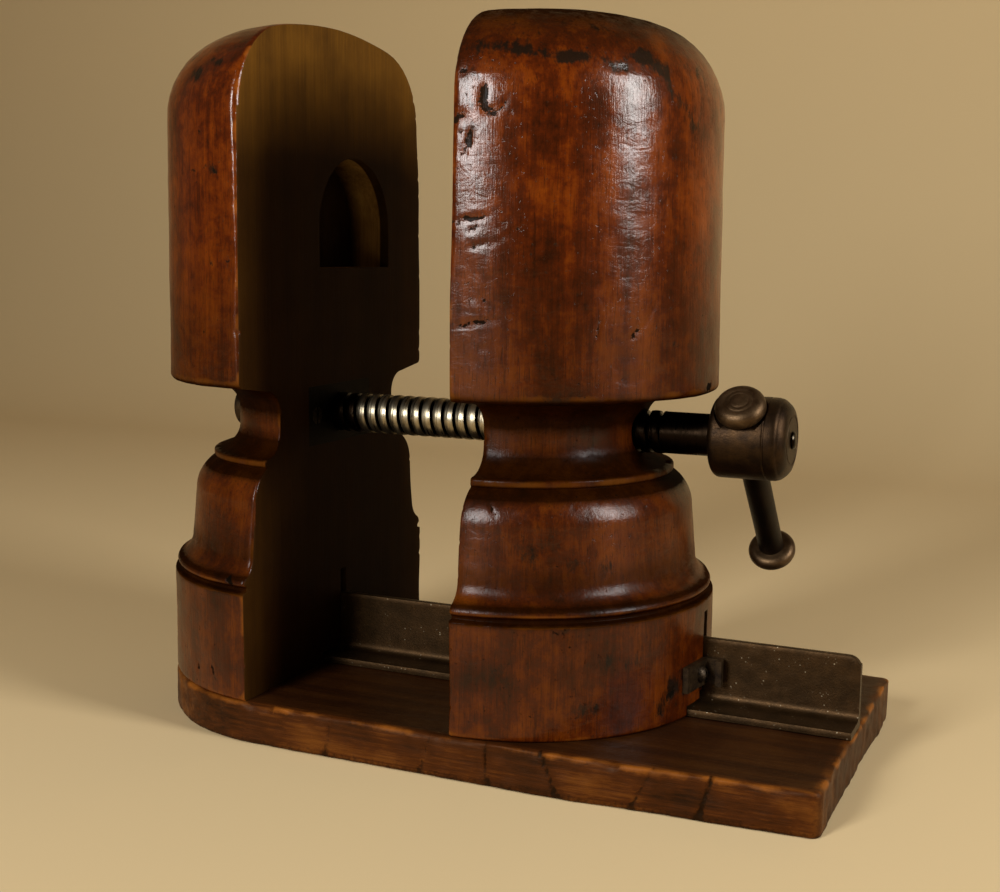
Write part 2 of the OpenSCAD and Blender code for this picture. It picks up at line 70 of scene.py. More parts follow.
BOARD_HIGH = node_box("base_board")[1]
FIXED_LOW = node_box("fixed_half")[0]
MOVING_LOW, MOVING_HIGH = node_box("moving_half")
RAIL_LOW, RAIL_HIGH = node_box("guide_rail")
SPINDLE_LOW, SPINDLE_HIGH = node_box("spindle")
BOSS_LOW, BOSS_HIGH = node_box("spindle_boss")
BAR_LOW, BAR_HIGH = node_box("tommy_bar")
WASHER_LOW, WASHER_HIGH = node_box("tail_washer")
COLLAR_LOW, COLLAR_HIGH = node_box("tail_collar")
PLATE_LOW, PLATE_HIGH = node_box("thrust_plate")
NUT_LOW, NUT_HIGH = node_box("spindle_nut")
CLIP_LOW, CLIP_HIGH = node_box("guide_clip")

# Places that the pieces share
BOARD_T = BOARD_HIGH[2]
BOARD_HALF = BOARD_HIGH[1]
BLOCK_R = MOVING_HIGH[1]
FIXED_AXIS = FIXED_LOW[0] + BLOCK_R
OPENING = MOVING_LOW[0]
SLIDE_GAP = MOVING_LOW[2] - BOARD_T
SCREW_Z = (COLLAR_LOW[2] + COLLAR_HIGH[2]) / 2
SCREW_AXIS = np.array([1.0, 0.0, 0.0])
SCREW_ORIGIN = np.array([0.0, 0.0, SCREW_Z])
UPRIGHT = np.array([0.0, 0.0, 1.0])

# Heights of the turned profile above the board, and its radii
PLINTH_H = 45.4
QUIRK_DEPTH = 2.6
BEAD_Z = 47.4
BEAD_R = BLOCK_R - 1.0
COVE_Z = 51.2
BELL_Z = 59.8
BELL_FOOT_R = 70.3
BELL_TOP_R = 68.3
SHOULDER_Z = 80.0
LIST_Z = 94.6
LIST_R = 60.4
LIST_QUIRK = 0.9
LOW_COVE_Z = 98.0
NECK_Z = 109.0
NECK_R = 48.8
HIGH_COVE_Z = 116.0
UNDER_Z = 126.5
UNDER_R = 59.3
RIM_Z = 128.9
RIM_ROUND = 2.2
DOME_Z = 238.1
DOME_R = BLOCK_R - 1.0
TOP_Z = 274.4
TOP_R = 47.0
TOP_RISE = 4.5
FOOT_ARRIS = 0.9

# Wear of a sawn edge: its least and greatest rounding, and the height, reach and strength of the part
# that hands hold
ARRIS_LEAST = 0.35
ARRIS_MOST = 4.2
HELD_Z = 236
HELD_REACH = 17
HELD_WEAR = 1.8

# Grid of a half: rows up the profile, steps round the front part of the arc, which is finer, and round
# the rest, steps round a worn corner and steps across the sawn face
HALF_ROWS = 330
FRONT_SHARE = 0.55
FRONT_STEPS = 190
BACK_STEPS = 44
CORNER_STEPS = 5
FACE_STEPS = 20

# Unevenness of a half: size and height of the slow and the quick waves on its turned side and of the waves
# on its sawn side, and the depth over which one side passes into the other
SLOW_WAVE = 52
SLOW_WAVE_H = 0.12
QUICK_WAVE = 14
QUICK_WAVE_H = 0.035
SAWN_WAVE = 26
SAWN_WAVE_H = 0.05
SIDE_FADE = 2.5

# Cuts in the halves
POCKET_R = 30.5
POCKET_SIDE_H = 18.0
POCKET_BACK = 14.5
POCKET_DEPTH = 20.5
# In the shading, the lip keeps the sawn face's painted shade, and painted shade darkens the pocket over the
# fade depth towards its back; both also set stations of the pocket's cutter
POCKET_LIP = 4.5
POCKET_FADE = 7.0
POCKET_FLOOR = BOARD_T + 176.4
SLOT_SIDE = 0.8
SLOT_H = 40.0
FOOT_HEADROOM = 1.4
TAIL_BORE_R = 5.6
SCREW_BORE_R = 9.05
FIT = 0.03
SEAT_X = WASHER_HIGH[0]

# Painted shadow of the moving half on the sawn faces: height above the board over which a sawn face is
# lit, the length over which painted shade darkens it below, how much lower the lit part reaches at the
# rim, where the rim begins and how broad it is; and how far in from the saw cut its edge is rubbed
SAWN_SHADE_TOP_Z = 267.0
SAWN_SHADE_FADE = 44.0
SAWN_LIGHT_DROP = 10.0
SAWN_RIM_Y = 48
SAWN_RIM_WIDTH = 25
EDGE_RUB = 1.7

# Rail
RAIL_T = RAIL_HIGH[1]
RAIL_H = RAIL_HIGH[2] - BOARD_T
RAIL_FILLET = 3.0
RAIL_CORNER_R = 5.0
RAIL_EDGE_R = 0.7
RAIL_UNDER_R = 0.4
RAIL_STEP = 0.9
RAIL_STATIONS = 150
RAIL_SCREW_HEAD_D = 7.8
RAIL_SCREW_SHANK_D = 4.0
RAIL_SCREW_DEPTH = 14.2
RAIL_SCREW_X = (RAIL_LOW[0] / 2, OPENING - 20.0, OPENING + 20.0, OPENING + 60.0)

# Board
BOARD_TAPER_LEN = 105.0
BOARD_END_HALF = 73.6
BOARD_CORNER_R = 4.0
BOARD_UNDER_ARRIS = 1.1
BOARD_ROUND_LEAST = 0.5
BOARD_ROUND_MOST = 4.4
BOARD_SCREWS = ((-22.0, -50.0), (-22.0, 50.0), (-52.0, 0.0))
BOARD_SCREW_HEAD_D = 11.2
BOARD_SCREW_SHANK_D = 5.7
BOARD_SCREW_SINK = 0.6
BOARD_STEP = 1.5
BOARD_TOP_RINGS = 40

# Screw. Painted shade darkens its crests towards both ends, over the shade length, where the halves shade
# it.
THREAD_R = 8.75
THREAD_PITCH = 5.4
THREAD_ROOT_R = 6.35
THREAD_GROOVE = 1.55
THREAD_START = 3.7
THREAD_END = 153.0
THREAD_SHADE_X = 150.0
THREAD_SHADE_LEN = 18.0
SHOULDER_X = 0.3
TAIL_R = 5.5
SHANK_R = 8.5
PIP_R = 3.3

# Radius at which the ends of a solid turned piece are capped
CORE_R = 0.4

# Boss and tommy bar
BOSS_R = BOSS_HIGH[1]
BAR_X = (BAR_LOW[0] + BAR_HIGH[0]) / 2
BAR_CENTRE = np.array([BAR_X, 0.0, SCREW_Z])
BAR_AXIS = np.array(next(j["axis"] for j in frame["joints"] if j["name"] == "bar_slide"))
BAR_R = 5.4
BAR_LEN = 87.5
KNOB_GAP = 0.3
# How far the near knob sinks into its flat seat on the boss, and the seat's radius
BAR_DROP = 2.4
SEAT_R = 10.6
NEAR_FACE = BOSS_R + KNOB_GAP - BAR_DROP
FAR_FACE = BAR_LEN - BOSS_R - KNOB_GAP
KNOB_R = 10.0
KNOB_H = 7.6
RIVET_R = 3.5
BOSS_ROUND = 3

# Turned grooves and the domed end of the boss: distance back from its end, and depth below its radius
BOSS_TURNING = (
    (9.0, 0.0), (8.6, 0.05), (8.3, 0.3), (8.0, 0.3), (7.7, 0.05), (5.6, 0.15),
    (4.2, 0.5), (3.4, 0.9), (3.2, 1.2), (2.9, 1.3), (1.6, 2.4), (0.7, 3.6),
    (0.2, 5.0), (0.0, 6.4), (0.3, 6.7), (0.3, 7.1), (0.0, 7.4),
)

# Turned ring on a knob's top: height against the edge of the top, and radius
KNOB_RING = ((0.02, 5.9), (-0.10, 5.6), (-0.08, 5.3), (0.12, 5.0))

# Clip
CLIP_T = 2.4
CLIP_FOOT = 16.0
CLIP_TURN = math.radians(-9.0)
CLIP_FLAT = 77.58
CLIP_BEND = 1.6
CLIP_LIP = 3.0

# Stage: the sweep's section, and the camera that the photograph's view gives
SWEEP_FRONT = -3000.0
SWEEP_BACK = 700.0
SWEEP_BEND = 500.0
SWEEP_TOP = 3000.0
SWEEP_HALF = 4000.0
CAMERA_PLACE = (323.6, -539.0, 203.4)
CAMERA_YAW = 24.392
CAMERA_PITCH = 8.126
CAMERA_ROLL = 0.496
CAMERA_LENS = 50.27
CAMERA_SENSOR = 36.0

# Height that the soft boxes face, in metres
LAMP_AIM_Z = 0.15

# Shading angle past which an edge is drawn sharp
SHARP_EDGE = math.radians(38)


class Mark(NamedTuple):
    """A dent, crack or stain on a turned half: angle round from the front in degrees, height above the
    board, half length, half width, depth (or strength for a stain) and lean from level in degrees."""

    angle: float
    height: float
    length: float
    width: float
    depth: float
    lean: float


MOVING_MARKS = (
    Mark(9.4, 240, 4.6, 1.8, 1.0, 82),
    Mark(11.0, 234.4, 3.0, 1.8, 0.9, -10),
    Mark(14.8, 236.5, 3.4, 0.9, 0.5, 55),
    Mark(2.2, 232.6, 3.0, 1.7, 0.9, 24),
    Mark(5.4, 225, 3.4, 1.7, 1.0, 84),
    Mark(3.7, 219.7, 1.6, 1.4, 0.7, 0),
    Mark(3.0, 248.7, 1.6, 1.4, 0.7, 0),
    Mark(2.6, 227, 1.3, 1.1, 0.5, 0),
    Mark(5.6, 196.2, 8.0, 0.9, 0.9, 8),
    Mark(8.7, 186.9, 4.6, 0.9, 0.7, 9),
    Mark(17.0, 191.4, 8.0, 0.9, 0.5, 30),
    Mark(17.3, 192.9, 8.0, 0.9, -0.3, 30),
    Mark(6.7, 193.0, 2.6, 1.2, 0.6, 25),
    Mark(15.3, 194.8, 1.9, 0.9, 0.4, 20),
    Mark(7.8, 164.8, 4.4, 4.0, 0.42, 0),
    Mark(7.8, 164.6, 2.4, 2.2, -0.5, 0),
    Mark(6.0, 173.0, 7.0, 2.6, 0.30, 80),
    Mark(10.4, 171.0, 5.0, 1.5, 0.28, 75),
    Mark(7.8, 158.6, 10.0, 1.0, 0.7, 10),
    Mark(9.6, 149.2, 1.7, 1.3, 0.5, 0),
    Mark(41.2, 156.8, 4.0, 0.9, 0.6, 75),
    Mark(46.5, 159.7, 5.0, 0.7, 0.3, 8),
    Mark(52.0, 155.0, 3.0, 0.9, 0.5, 60),
    Mark(57.5, 162.0, 4.6, 0.8, 0.5, 55),
    Mark(53.5, 155.6, 4.0, 0.8, 0.4, 40),
    Mark(50.0, 137.6, 6.0, 0.8, 0.4, -3),
    Mark(59.0, 138.9, 7.0, 0.8, 0.35, 12),
    Mark(56.0, 230.5, 4.6, 0.7, 0.4, 2),
    Mark(47.4, 250.0, 3.2, 1.8, 0.5, 10),
    Mark(88.0, 132.0, 3.2, 1.6, 1.2, 0),
    Mark(10.6, 87.7, 3.6, 0.9, 0.6, -60),
    Mark(37.8, 88.7, 1.1, 0.9, 0.4, 0),
    Mark(47.7, 90.6, 1.3, 0.9, 0.4, 0),
    Mark(31.8, 43.2, 3.6, 2.6, 0.5, 0),
    Mark(42.1, 29.1, 1.9, 1.2, 0.45, 40),
    Mark(36.0, 17.5, 3.6, 0.9, 0.5, 5),
    Mark(68.5, 11.9, 4.0, 2.4, 0.6, 30),
    Mark(72.0, 16.0, 3.0, 1.5, 0.4, 60),
    Mark(64.0, 5.5, 3.0, 2.0, 0.5, 0),
    Mark(128.0, 212.0, 6.0, 1.0, 0.5, 70),
    Mark(141.0, 168.0, 3.0, 1.4, 0.6, 20),
    Mark(112.0, 22.0, 3.4, 1.6, 0.6, -20),
)

MOVING_STAINS = (
    Mark(32.2, 253.6, 5.0, 2.6, 1.0, 5),
    Mark(23.0, 255.0, 9.0, 2.6, 0.55, -2),
    Mark(41.0, 253.4, 10.0, 2.6, 0.72, -6),
    Mark(47.4, 250.2, 4.0, 2.4, 0.9, 10),
    Mark(54.0, 255.5, 7.0, 2.4, 0.7, 0),
    Mark(59.5, 254.0, 8.0, 4.4, 0.78, -20),
    Mark(63.5, 246.5, 7.0, 4.2, 0.74, -65),
    Mark(69.5, 238.0, 5.0, 3.8, 0.60, -60),
    Mark(74.5, 231.5, 4.5, 3.8, 0.90, 0),
    Mark(6.0, 236.0, 20.0, 9.0, 0.42, 88),
    Mark(12.0, 258.0, 16.0, 4.0, 0.6, 0),
    Mark(80.0, 250.0, 11.0, 5.0, 0.6, -25),
    Mark(30.0, 265.0, 24.0, 4.0, 0.45, 0),
    Mark(7.0, 169.0, 11.0, 6.5, 0.42, 85),
    Mark(60.0, 163.0, 20.0, 7.0, 0.3, 75),
    Mark(31.8, 43.6, 4.2, 2.8, 0.8, 0),
    Mark(67.0, 12.0, 8.0, 6.0, 0.6, 40),
    Mark(74.0, 17.0, 8.0, 5.0, 0.70, 20),
    Mark(27.0, 72.0, 12.0, 7.0, 0.60, 20),
    Mark(44.0, 66.0, 9.0, 5.0, 0.55, -15),
    Mark(50.0, 30.0, 12.0, 5.0, 0.60, 0),
    Mark(18.0, 24.0, 8.0, 10.0, 0.55, 0),
    Mark(40.0, 12.0, 10.0, 4.0, 0.60, 0),
    Mark(135.0, 250.0, 12.0, 5.0, 0.8, 10),
    Mark(118.0, 160.0, 14.0, 6.0, 0.4, 80),
)

FIXED_MARKS = (
    Mark(20.3, 231.2, 3.0, 1.2, 0.4, 60),
    Mark(12.5, 214.9, 2.4, 1.5, 0.7, 20),
    Mark(17.0, 217.0, 12.0, 0.9, 0.5, -9),
    Mark(14.8, 178.9, 1.8, 1.3, 0.5, 0),
    Mark(8.4, 179.0, 1.8, 1.2, 0.5, 0),
    Mark(18.5, 152.0, 4.5, 0.8, 0.45, 88),
    Mark(8.0, 152.5, 5.0, 0.8, 0.3, -15),
    Mark(10.2, 49.6, 2.6, 1.5, 1.0, 40),
    Mark(26.0, 9.5, 3.0, 1.3, 0.7, 80),
    Mark(18.0, 10.5, 3.0, 1.3, 0.6, 75),
    Mark(60.0, 205.0, 7.0, 0.9, 0.5, 65),
    Mark(96.0, 170.0, 3.0, 1.5, 0.6, 15),
    Mark(128.0, 226.0, 5.0, 1.1, 0.5, 80),
    Mark(75.0, 25.0, 3.2, 1.5, 0.6, -30),
)

FIXED_STAINS = (
    Mark(25.3, 253.8, 6.0, 3.4, 1.0, 15),
    Mark(16.7, 258.0, 5.0, 2.8, 0.9, 10),
    Mark(30.0, 262.0, 14.0, 3.0, 0.5, 0),
    Mark(14.0, 216.5, 6.0, 3.0, 0.5, 0),
    Mark(60.0, 255.0, 16.0, 5.0, 0.7, -8),
    Mark(105.0, 252.0, 14.0, 5.0, 0.7, 12),
    Mark(80.0, 165.0, 14.0, 7.0, 0.4, 70),
)

# Dirt and painted shade in the turned mouldings, painted shade under the crown, and two thin painted
# shades over the lower block and the crown's foot: height above the board, half width, strength
SHADE_AND_DIRT_BANDS = (
    (46.3, 1.5, 1.0),
    (51.0, 1.3, 0.55),
    (60.0, 6.0, 0.25),
    (92.8, 2.4, 1.0),
    (100.8, 3.0, 1.0),
    (104.0, 5.0, 0.4),
    (122.0, 7.5, 0.9),
    (127.4, 2.2, 0.8),
    (150.0, 24.0, 0.2),
    (60.0, 110.0, 0.48),
)

# Dirt on the crown's top, the same way
FIXED_TOP_DIRT = (282.0, 10.0, 0.5)
MOVING_TOP_DIRT = (278.0, 18.0, 1.0)

# Mouldings where hands have rubbed the stain away: height above the board, half width, strength
RUBBED_BANDS = (
    (1.2, 1.4, 0.5),
    (44.8, 0.8, 0.9),
    (48.8, 0.9, 0.6),
    (96.3, 1.5, 1.0),
    (131.0, 1.6, 0.7),
)

# Cracks in the front edge of the board: place along X, half width, depth, lean along X per height
BOARD_CRACKS = (
    (83.5, 0.7, 0.5, 0.30),
    (109.7, 0.8, 0.7, -0.10),
    (135.5, 0.9, 0.8, -0.45),
    (171.0, 0.7, 0.6, 0.50),
    (194.5, 0.9, 0.9, 0.28),
    (40.0, 0.8, 0.5, 0.15),
)


# Colours that no setting changes: painted shade on the sawn and cut wood, and the room's light
SHADE_ON_CUT_WOOD = "170600"
ROOM_LIGHT = "ffdfb6"


def linear(code):
    """Linear RGBA of an sRGB colour written as six hex digits."""
    parts = np.array([int(code[i:i + 2], 16) for i in (0, 2, 4)]) / 255
    values = np.where(parts <= 0.04045, parts / 12.92, ((parts + 0.055) / 1.055) ** 2.4)
    return (*values.tolist(), 1.0)


def colour(code, name, description):
    """A colour property whose default is an sRGB hex colour."""
    return bpy.props.FloatVectorProperty(
        name=name, description=description, default=linear(code), subtype="COLOR", size=4, min=0.0, max=1.0
    )


class HatWoodLook(bpy.types.PropertyGroup):
    """Colours and wear of the wooden pieces"""

    varnish_light: colour("773a02", "Light grain", "Orange streaks of the varnished wood")
    varnish_mid: colour("4a1b00", "Middle grain", "Main colour of the varnished wood")
    varnish_dark: colour("240b00", "Dark grain", "Dark streaks of the varnished wood")
    gloss: colour("ffdfba", "Gloss", "Warm tint of the varnish's glints")
    soot: colour("0b0805", "Black stains", "Burnt and ink-black patches")
    # Dirt colour, also laid as painted shade in the mouldings, under the crown and over the lower block
    dirt_and_shade: colour("130701", "Dirt", "Old dirt in the mouldings and dents")
    rubbed: colour("8d5119", "Rubbed wood", "Bare wood on worn edges")
    sawn_light: colour("7f5418", "Sawn light", "Light streaks of the sawn faces")
    sawn_dark: colour("442a0d", "Sawn dark", "Dark streaks of the sawn faces")
    raw: colour("b58d4e", "Raw wood", "Cut wood in the pocket and the slots")
    board_light: colour("774516", "Board light", "Light grain of the board")
    board_mid: colour("482309", "Board middle", "Main colour of the board")
    board_dark: colour("221005", "Board dark", "Dark grain of the board")
    arris_wear: bpy.props.FloatProperty(
        name="Arris wear",
        description="Mean rounding of the sawn edges",
        default=1.2 * MM,
        min=0.3 * MM,
        max=3.0 * MM,
        unit="LENGTH",
    )
    board_wear: bpy.props.FloatProperty(
        name="Board edge wear",
        description="Mean rounding of the board's top edge",
        default=1.5 * MM,
        min=0.3 * MM,
        max=4.0 * MM,
        unit="LENGTH",
    )
    dent_depth: bpy.props.FloatProperty(
        name="Dent depth",
        description="How deep the dents and cracks go, against their listed depth",
        default=0.35,
        min=0.0,
        max=2.0,
        subtype="FACTOR",
    )


class HatIronLook(bpy.types.PropertyGroup):
    """Colours of the iron and steel pieces"""

    rail: colour("453018", "Rail iron", "Browned iron of the rail")
    rail_dark: colour("33230f", "Rail dark", "Darker rust film on the rail")
    speck: colour("a3957a", "Bright specks", "Bare metal showing through the rust film")
    crest: colour("a4987f", "Thread crest", "Steel polished by the nut")
    root: colour("150e08", "Thread root", "Oil and dirt in the thread")
    knob: colour("5f4a32", "Knob iron", "Knobs polished by hands")
    handle: colour("3a2815", "Handle iron", "Satin brown iron of the boss")
    handle_dark: colour("20150b", "Handle dark", "Dark film on the handled iron")
    black: colour("483620", "Black iron", "Dull forged iron")
    # Near black, so that the plates sink into the painted shade of the sawn face
    plate: colour("0e0703", "Plate iron", "Plates under black oil")
    fastener: colour("4c4032", "Screw steel", "Darkened wood screws")


class HatStageLook(bpy.types.PropertyGroup):
    """Floor and lights"""

    floor: colour("dcc394", "Floor", "Plain pale sweep under and behind the object")
    key_power: bpy.props.FloatProperty(
        name="Right lamp", description="Power of the right soft box", default=12.5, min=0.0, unit="POWER"
    )
    fill_power: bpy.props.FloatProperty(
        name="Left lamp", description="Power of the left soft box", default=15.0, min=0.0, unit="POWER"
    )
    world: bpy.props.FloatProperty(
        name="Room light", description="Strength of the even light from all sides", default=0.10, min=0.0
    )


# Surfaces


class Shell(NamedTuple):
    """Points in millimetres, quads as rows of four point numbers, and the outlines of flat caps."""

    points: np.ndarray
    quads: np.ndarray
    caps: tuple


def grid_quads(rows, columns, wrap_rows=False):
    """Quads of a grid whose columns close on themselves, and whose rows do too where asked."""
    row = np.arange(rows if wrap_rows else rows - 1)[:, None]
    column = np.arange(columns)[None, :]
    after = (column + 1) % columns
    above = (row + 1) % rows
    here = row * columns
    higher = above * columns
    corners = (here + column, here + after, higher + after, higher + column)
    return np.stack(np.broadcast_arrays(*corners), axis=-1).reshape(-1, 4)


def tube(points, closed_rows=False):
    """Closes a grid of points, rows by columns by three, into a shell: the columns wrap round, and
    the first and last row are capped unless the rows wrap too."""
    rows, columns = points.shape[:2]
    first = np.arange(columns)
    caps = () if closed_rows else (first[::-1], first + (rows - 1) * columns)
    return Shell(points.reshape(-1, 3), grid_quads(rows, columns, closed_rows), caps)


def joined(*shells):
    """Several shells as one."""
    starts = np.cumsum([0] + [len(s.points) for s in shells])[:-1]
    caps = tuple(cap + start for s, start in zip(shells, starts) for cap in s.caps)
    points = np.concatenate([s.points for s in shells])
    quads = np.concatenate([s.quads + start for s, start in zip(shells, starts)])
    return Shell(points, quads, caps)


def lathe(profile, origin, axis, turns=72, closed=False):
    """A turned shell: a profile point (along, radius) becomes the ring
    origin + along * axis + radius * (cos t * side + sin t * other), for t over a full turn."""
    profile = np.asarray(profile, float)
    helper = UPRIGHT if abs(axis[2]) < 0.9 else SCREW_AXIS
    side = np.cross(helper, axis)
    side = side / np.linalg.norm(side)
    other = np.cross(axis, side)
    t = np.linspace(0, 2 * np.pi, turns, endpoint=False)[:, None]
    ring = np.cos(t) * side + np.sin(t) * other
    points = origin + profile[:, :1, None] * axis + profile[:, 1:, None] * ring
    return tube(points, closed)


def prism(outline, *stations):
    """A flat outline of (y, z) points carried along X through all the stations."""
    outline = np.asarray(outline, float)
    count = len(stations)
    along = np.broadcast_to(np.array(stations)[:, None, None], (count, len(outline), 1))
    return tube(np.concatenate([along, np.broadcast_to(outline, (count, *outline.shape))], axis=2))


def rectangle(y0, y1, z0, z1):
    """Corners of a rectangle in the plane across X."""
    return np.array([[y0, z0], [y1, z0], [y1, z1], [y0, z1]])


def circle(radius, centre_z, count=64):
    """Points of a circle round the screw's axis in the plane across X."""
    t = np.linspace(0, 2 * np.pi, count, endpoint=False)
    return np.column_stack([radius * np.cos(t), centre_z + radius * np.sin(t)])


def rounded(corners, radii, steps=6):
    """A closed outline with round corners: each corner is replaced by an arc that touches both of its
    sides, a radius over the tangent of half the corner's angle away from it."""
    corners = np.asarray(corners, float)
    points = []
    for i, radius in enumerate(radii):
        corner = corners[i]
        back = corners[i - 1] - corner
        ahead = corners[(i + 1) % len(corners)] - corner
        back = back / np.linalg.norm(back)
        ahead = ahead / np.linalg.norm(ahead)
        half = math.acos(float(np.clip(back @ ahead, -1, 1))) / 2
        middle = (back + ahead) / np.linalg.norm(back + ahead)
        centre = corner + middle * radius / math.sin(half)
        sweep = np.linspace(-1, 1, steps + 1)[:, None] * (math.pi / 2 - half)
        across = ahead - (ahead @ middle) * middle
        across = across / np.linalg.norm(across)
        points.append(centre + radius * (np.sin(sweep) * across - np.cos(sweep) * middle))
    return np.concatenate(points)


def resample(points, step):
    """The same line with points about one step apart along it."""
    lengths = np.linalg.norm(np.diff(points, axis=0), axis=1)
    along = np.concatenate([[0], np.cumsum(lengths)])
    at = np.linspace(0, along[-1], int(round(along[-1] / step)) + 1)
    return np.column_stack([np.interp(at, along, column) for column in np.transpose(points)])


def lumps(points, size, seed):
    """Smooth noise of about unit height: sixteen cosine waves of about that size, with seeded
    directions and phases, added up."""
    rng = np.random.default_rng(seed)
    waves = rng.normal(size=(16, points.shape[-1]))
    waves *= 2 * np.pi / size * rng.uniform(0.6, 1.5, (16, 1)) / np.linalg.norm(waves, axis=1, keepdims=True)
    phases = rng.uniform(0, 2 * np.pi, 16)
    return np.cos(points @ waves.T + phases).sum(axis=-1) / math.sqrt(8)


def make_mesh(name, shell):
    """Writes a shell into a mesh, merges points that meet and turns its faces outward."""
    sizes = np.array([4] * len(shell.quads) + [len(cap) for cap in shell.caps], np.int32)
    corners = np.concatenate([shell.quads.ravel(), *shell.caps]).astype(np.int32)
    mesh = bpy.data.meshes.new(name)
    mesh.vertices.add(len(shell.points))
    mesh.vertices.foreach_set("co", (shell.points * MM).astype(np.float32).ravel())
    mesh.loops.add(len(corners))
    mesh.loops.foreach_set("vertex_index", corners)
    mesh.polygons.add(len(sizes))
    mesh.polygons.foreach_set("loop_start", np.cumsum(sizes, dtype=np.int32) - sizes)
    mesh.update(calc_edges=True)
    mesh.validate()
    work = bmesh.new()
    work.from_mesh(mesh)
    bmesh.ops.remove_doubles(work, verts=work.verts, dist=0.002 * MM)
    bmesh.ops.recalc_face_normals(work, faces=work.faces)
    work.to_mesh(mesh)
    work.free()
    return mesh


def carve(mesh, cutters, cut_slot):
    """Cuts closed shells out of a mesh. The new faces take material slot number cut_slot."""
    collection = bpy.context.scene.collection
    block = bpy.data.objects.new("carved_block", mesh)
    collection.objects.link(block)
    tools = []
    for shell in cutters:
        tool_mesh = make_mesh("cutter", shell)
        slots = np.full(len(tool_mesh.polygons), cut_slot, np.int32)
        tool_mesh.polygons.foreach_set("material_index", slots)
        tool = bpy.data.objects.new("cutter", tool_mesh)
        collection.objects.link(tool)
        tools.append(tool)
        cut = block.modifiers.new("cut", "BOOLEAN")
        cut.operation = "DIFFERENCE"
        cut.solver = "MANIFOLD"
        cut.object = tool
    graph = bpy.context.evaluated_depsgraph_get()
    carved = bpy.data.meshes.new_from_object(block.evaluated_get(graph))
    if len(carved.vertices) == len(mesh.vertices):
        raise RuntimeError("nothing was cut out of " + mesh.name)
    name = mesh.name
    for temporary in (block, *tools):
        old = temporary.data
        bpy.data.objects.remove(temporary)
        bpy.data.meshes.remove(old)
    carved.name = name
    return carved


def set_attribute(mesh, name, values):
    """Stores one number for each point of the mesh."""
    layer = mesh.attributes.new(name, "FLOAT", "POINT")
    layer.data.foreach_set("value", np.asarray(values, np.float32))


def mesh_points(mesh):
    """The mesh's points in millimetres."""
    flat = np.empty(len(mesh.vertices) * 3, np.float32)
    mesh.vertices.foreach_get("co", flat)
    return flat.reshape(-1, 3).astype(float) / MM


def place(name, mesh, body, slot, *nodes):
    """Puts a finished mesh into the scene: it rides on its body and stands for its construction nodes."""
    mesh.shade_smooth()
    mesh.set_sharp_from_angle(angle=SHARP_EDGE)
    piece = bpy.data.objects.new(name, mesh)
    bpy.context.scene.collection.objects.link(piece)
    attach(piece, body)
    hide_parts(*nodes)
    return piece


def soften(piece, width):
    """Rounds the sharp edges that are left, with a bevel of that width."""
    bevel = piece.modifiers.new("worn edges", "BEVEL")
    bevel.width = width * MM
    bevel.segments = 2
    bevel.limit_method = "ANGLE"
    bevel.angle_limit = SHARP_EDGE
    bevel.harden_normals = True


# Materials


def per_mm(size):
    """Scale of a pattern whose features are that many millimetres across."""
    return 1 / (size * MM)


def fill(tree, node, inputs):
    """Gives a node's sockets a value or a link."""
    for socket, value in inputs.items():
        if isinstance(value, bpy.types.NodeSocket):
            tree.links.new(value, node.inputs[socket])
        else:
            node.inputs[socket].default_value = value


def add(tree, kind, inputs=None, **settings):
    """Adds a node: settings are its own values, and inputs gives its sockets a value or a link."""
    made = tree.nodes.new(kind)
    for name, value in settings.items():
        setattr(made, name, value)
    fill(tree, made, inputs or {})
    return made.outputs


def new_finish(name):
    """An empty material, its node tree and its main shader."""
    finish = bpy.data.materials.new(name)
    finish.use_nodes = True
    return finish, finish.node_tree, finish.node_tree.nodes["Principled BSDF"]


# Names and socket numbers of the nodes used most
NOISE = "ShaderNodeTexNoise"
MATH = "ShaderNodeMath"
RANGE = "ShaderNodeMapRange"
MIX = "ShaderNodeMix"
MIX_A = 6
MIX_B = 7


class Layer(NamedTuple):
    """Wear or painted shade that covers wood: the attribute that says where, the pattern that breaks it up
    and its gain, the sums at which the layer begins and is full, how much of the wood it then hides, and its
    colour."""

    attribute: str
    pattern: bpy.types.NodeSocket
    gain: float
    begins: float
    full: float
    hides: float
    tint: tuple


def covered(tree, wood, layers):
    """Lays wear and painted shade over a wood colour, one layer on the other. Gives the colour and each
    layer's share.
    """
    shares = []
    for layer in layers:
        share = add(tree, "ShaderNodeAttribute", attribute_name=layer.attribute)["Fac"]
        share = add(tree, MATH, {0: layer.pattern, 1: layer.gain, 2: share}, operation="MULTIPLY_ADD")[0]
        share = add(tree, RANGE, {"Value": share, "From Min": layer.begins, "From Max": layer.full,
                                  "To Max": layer.hides})[0]
        wood = add(tree, MIX, {0: share, MIX_A: wood, MIX_B: layer.tint}, data_type="RGBA")[2]
        shares.append(share)
    return wood, shares


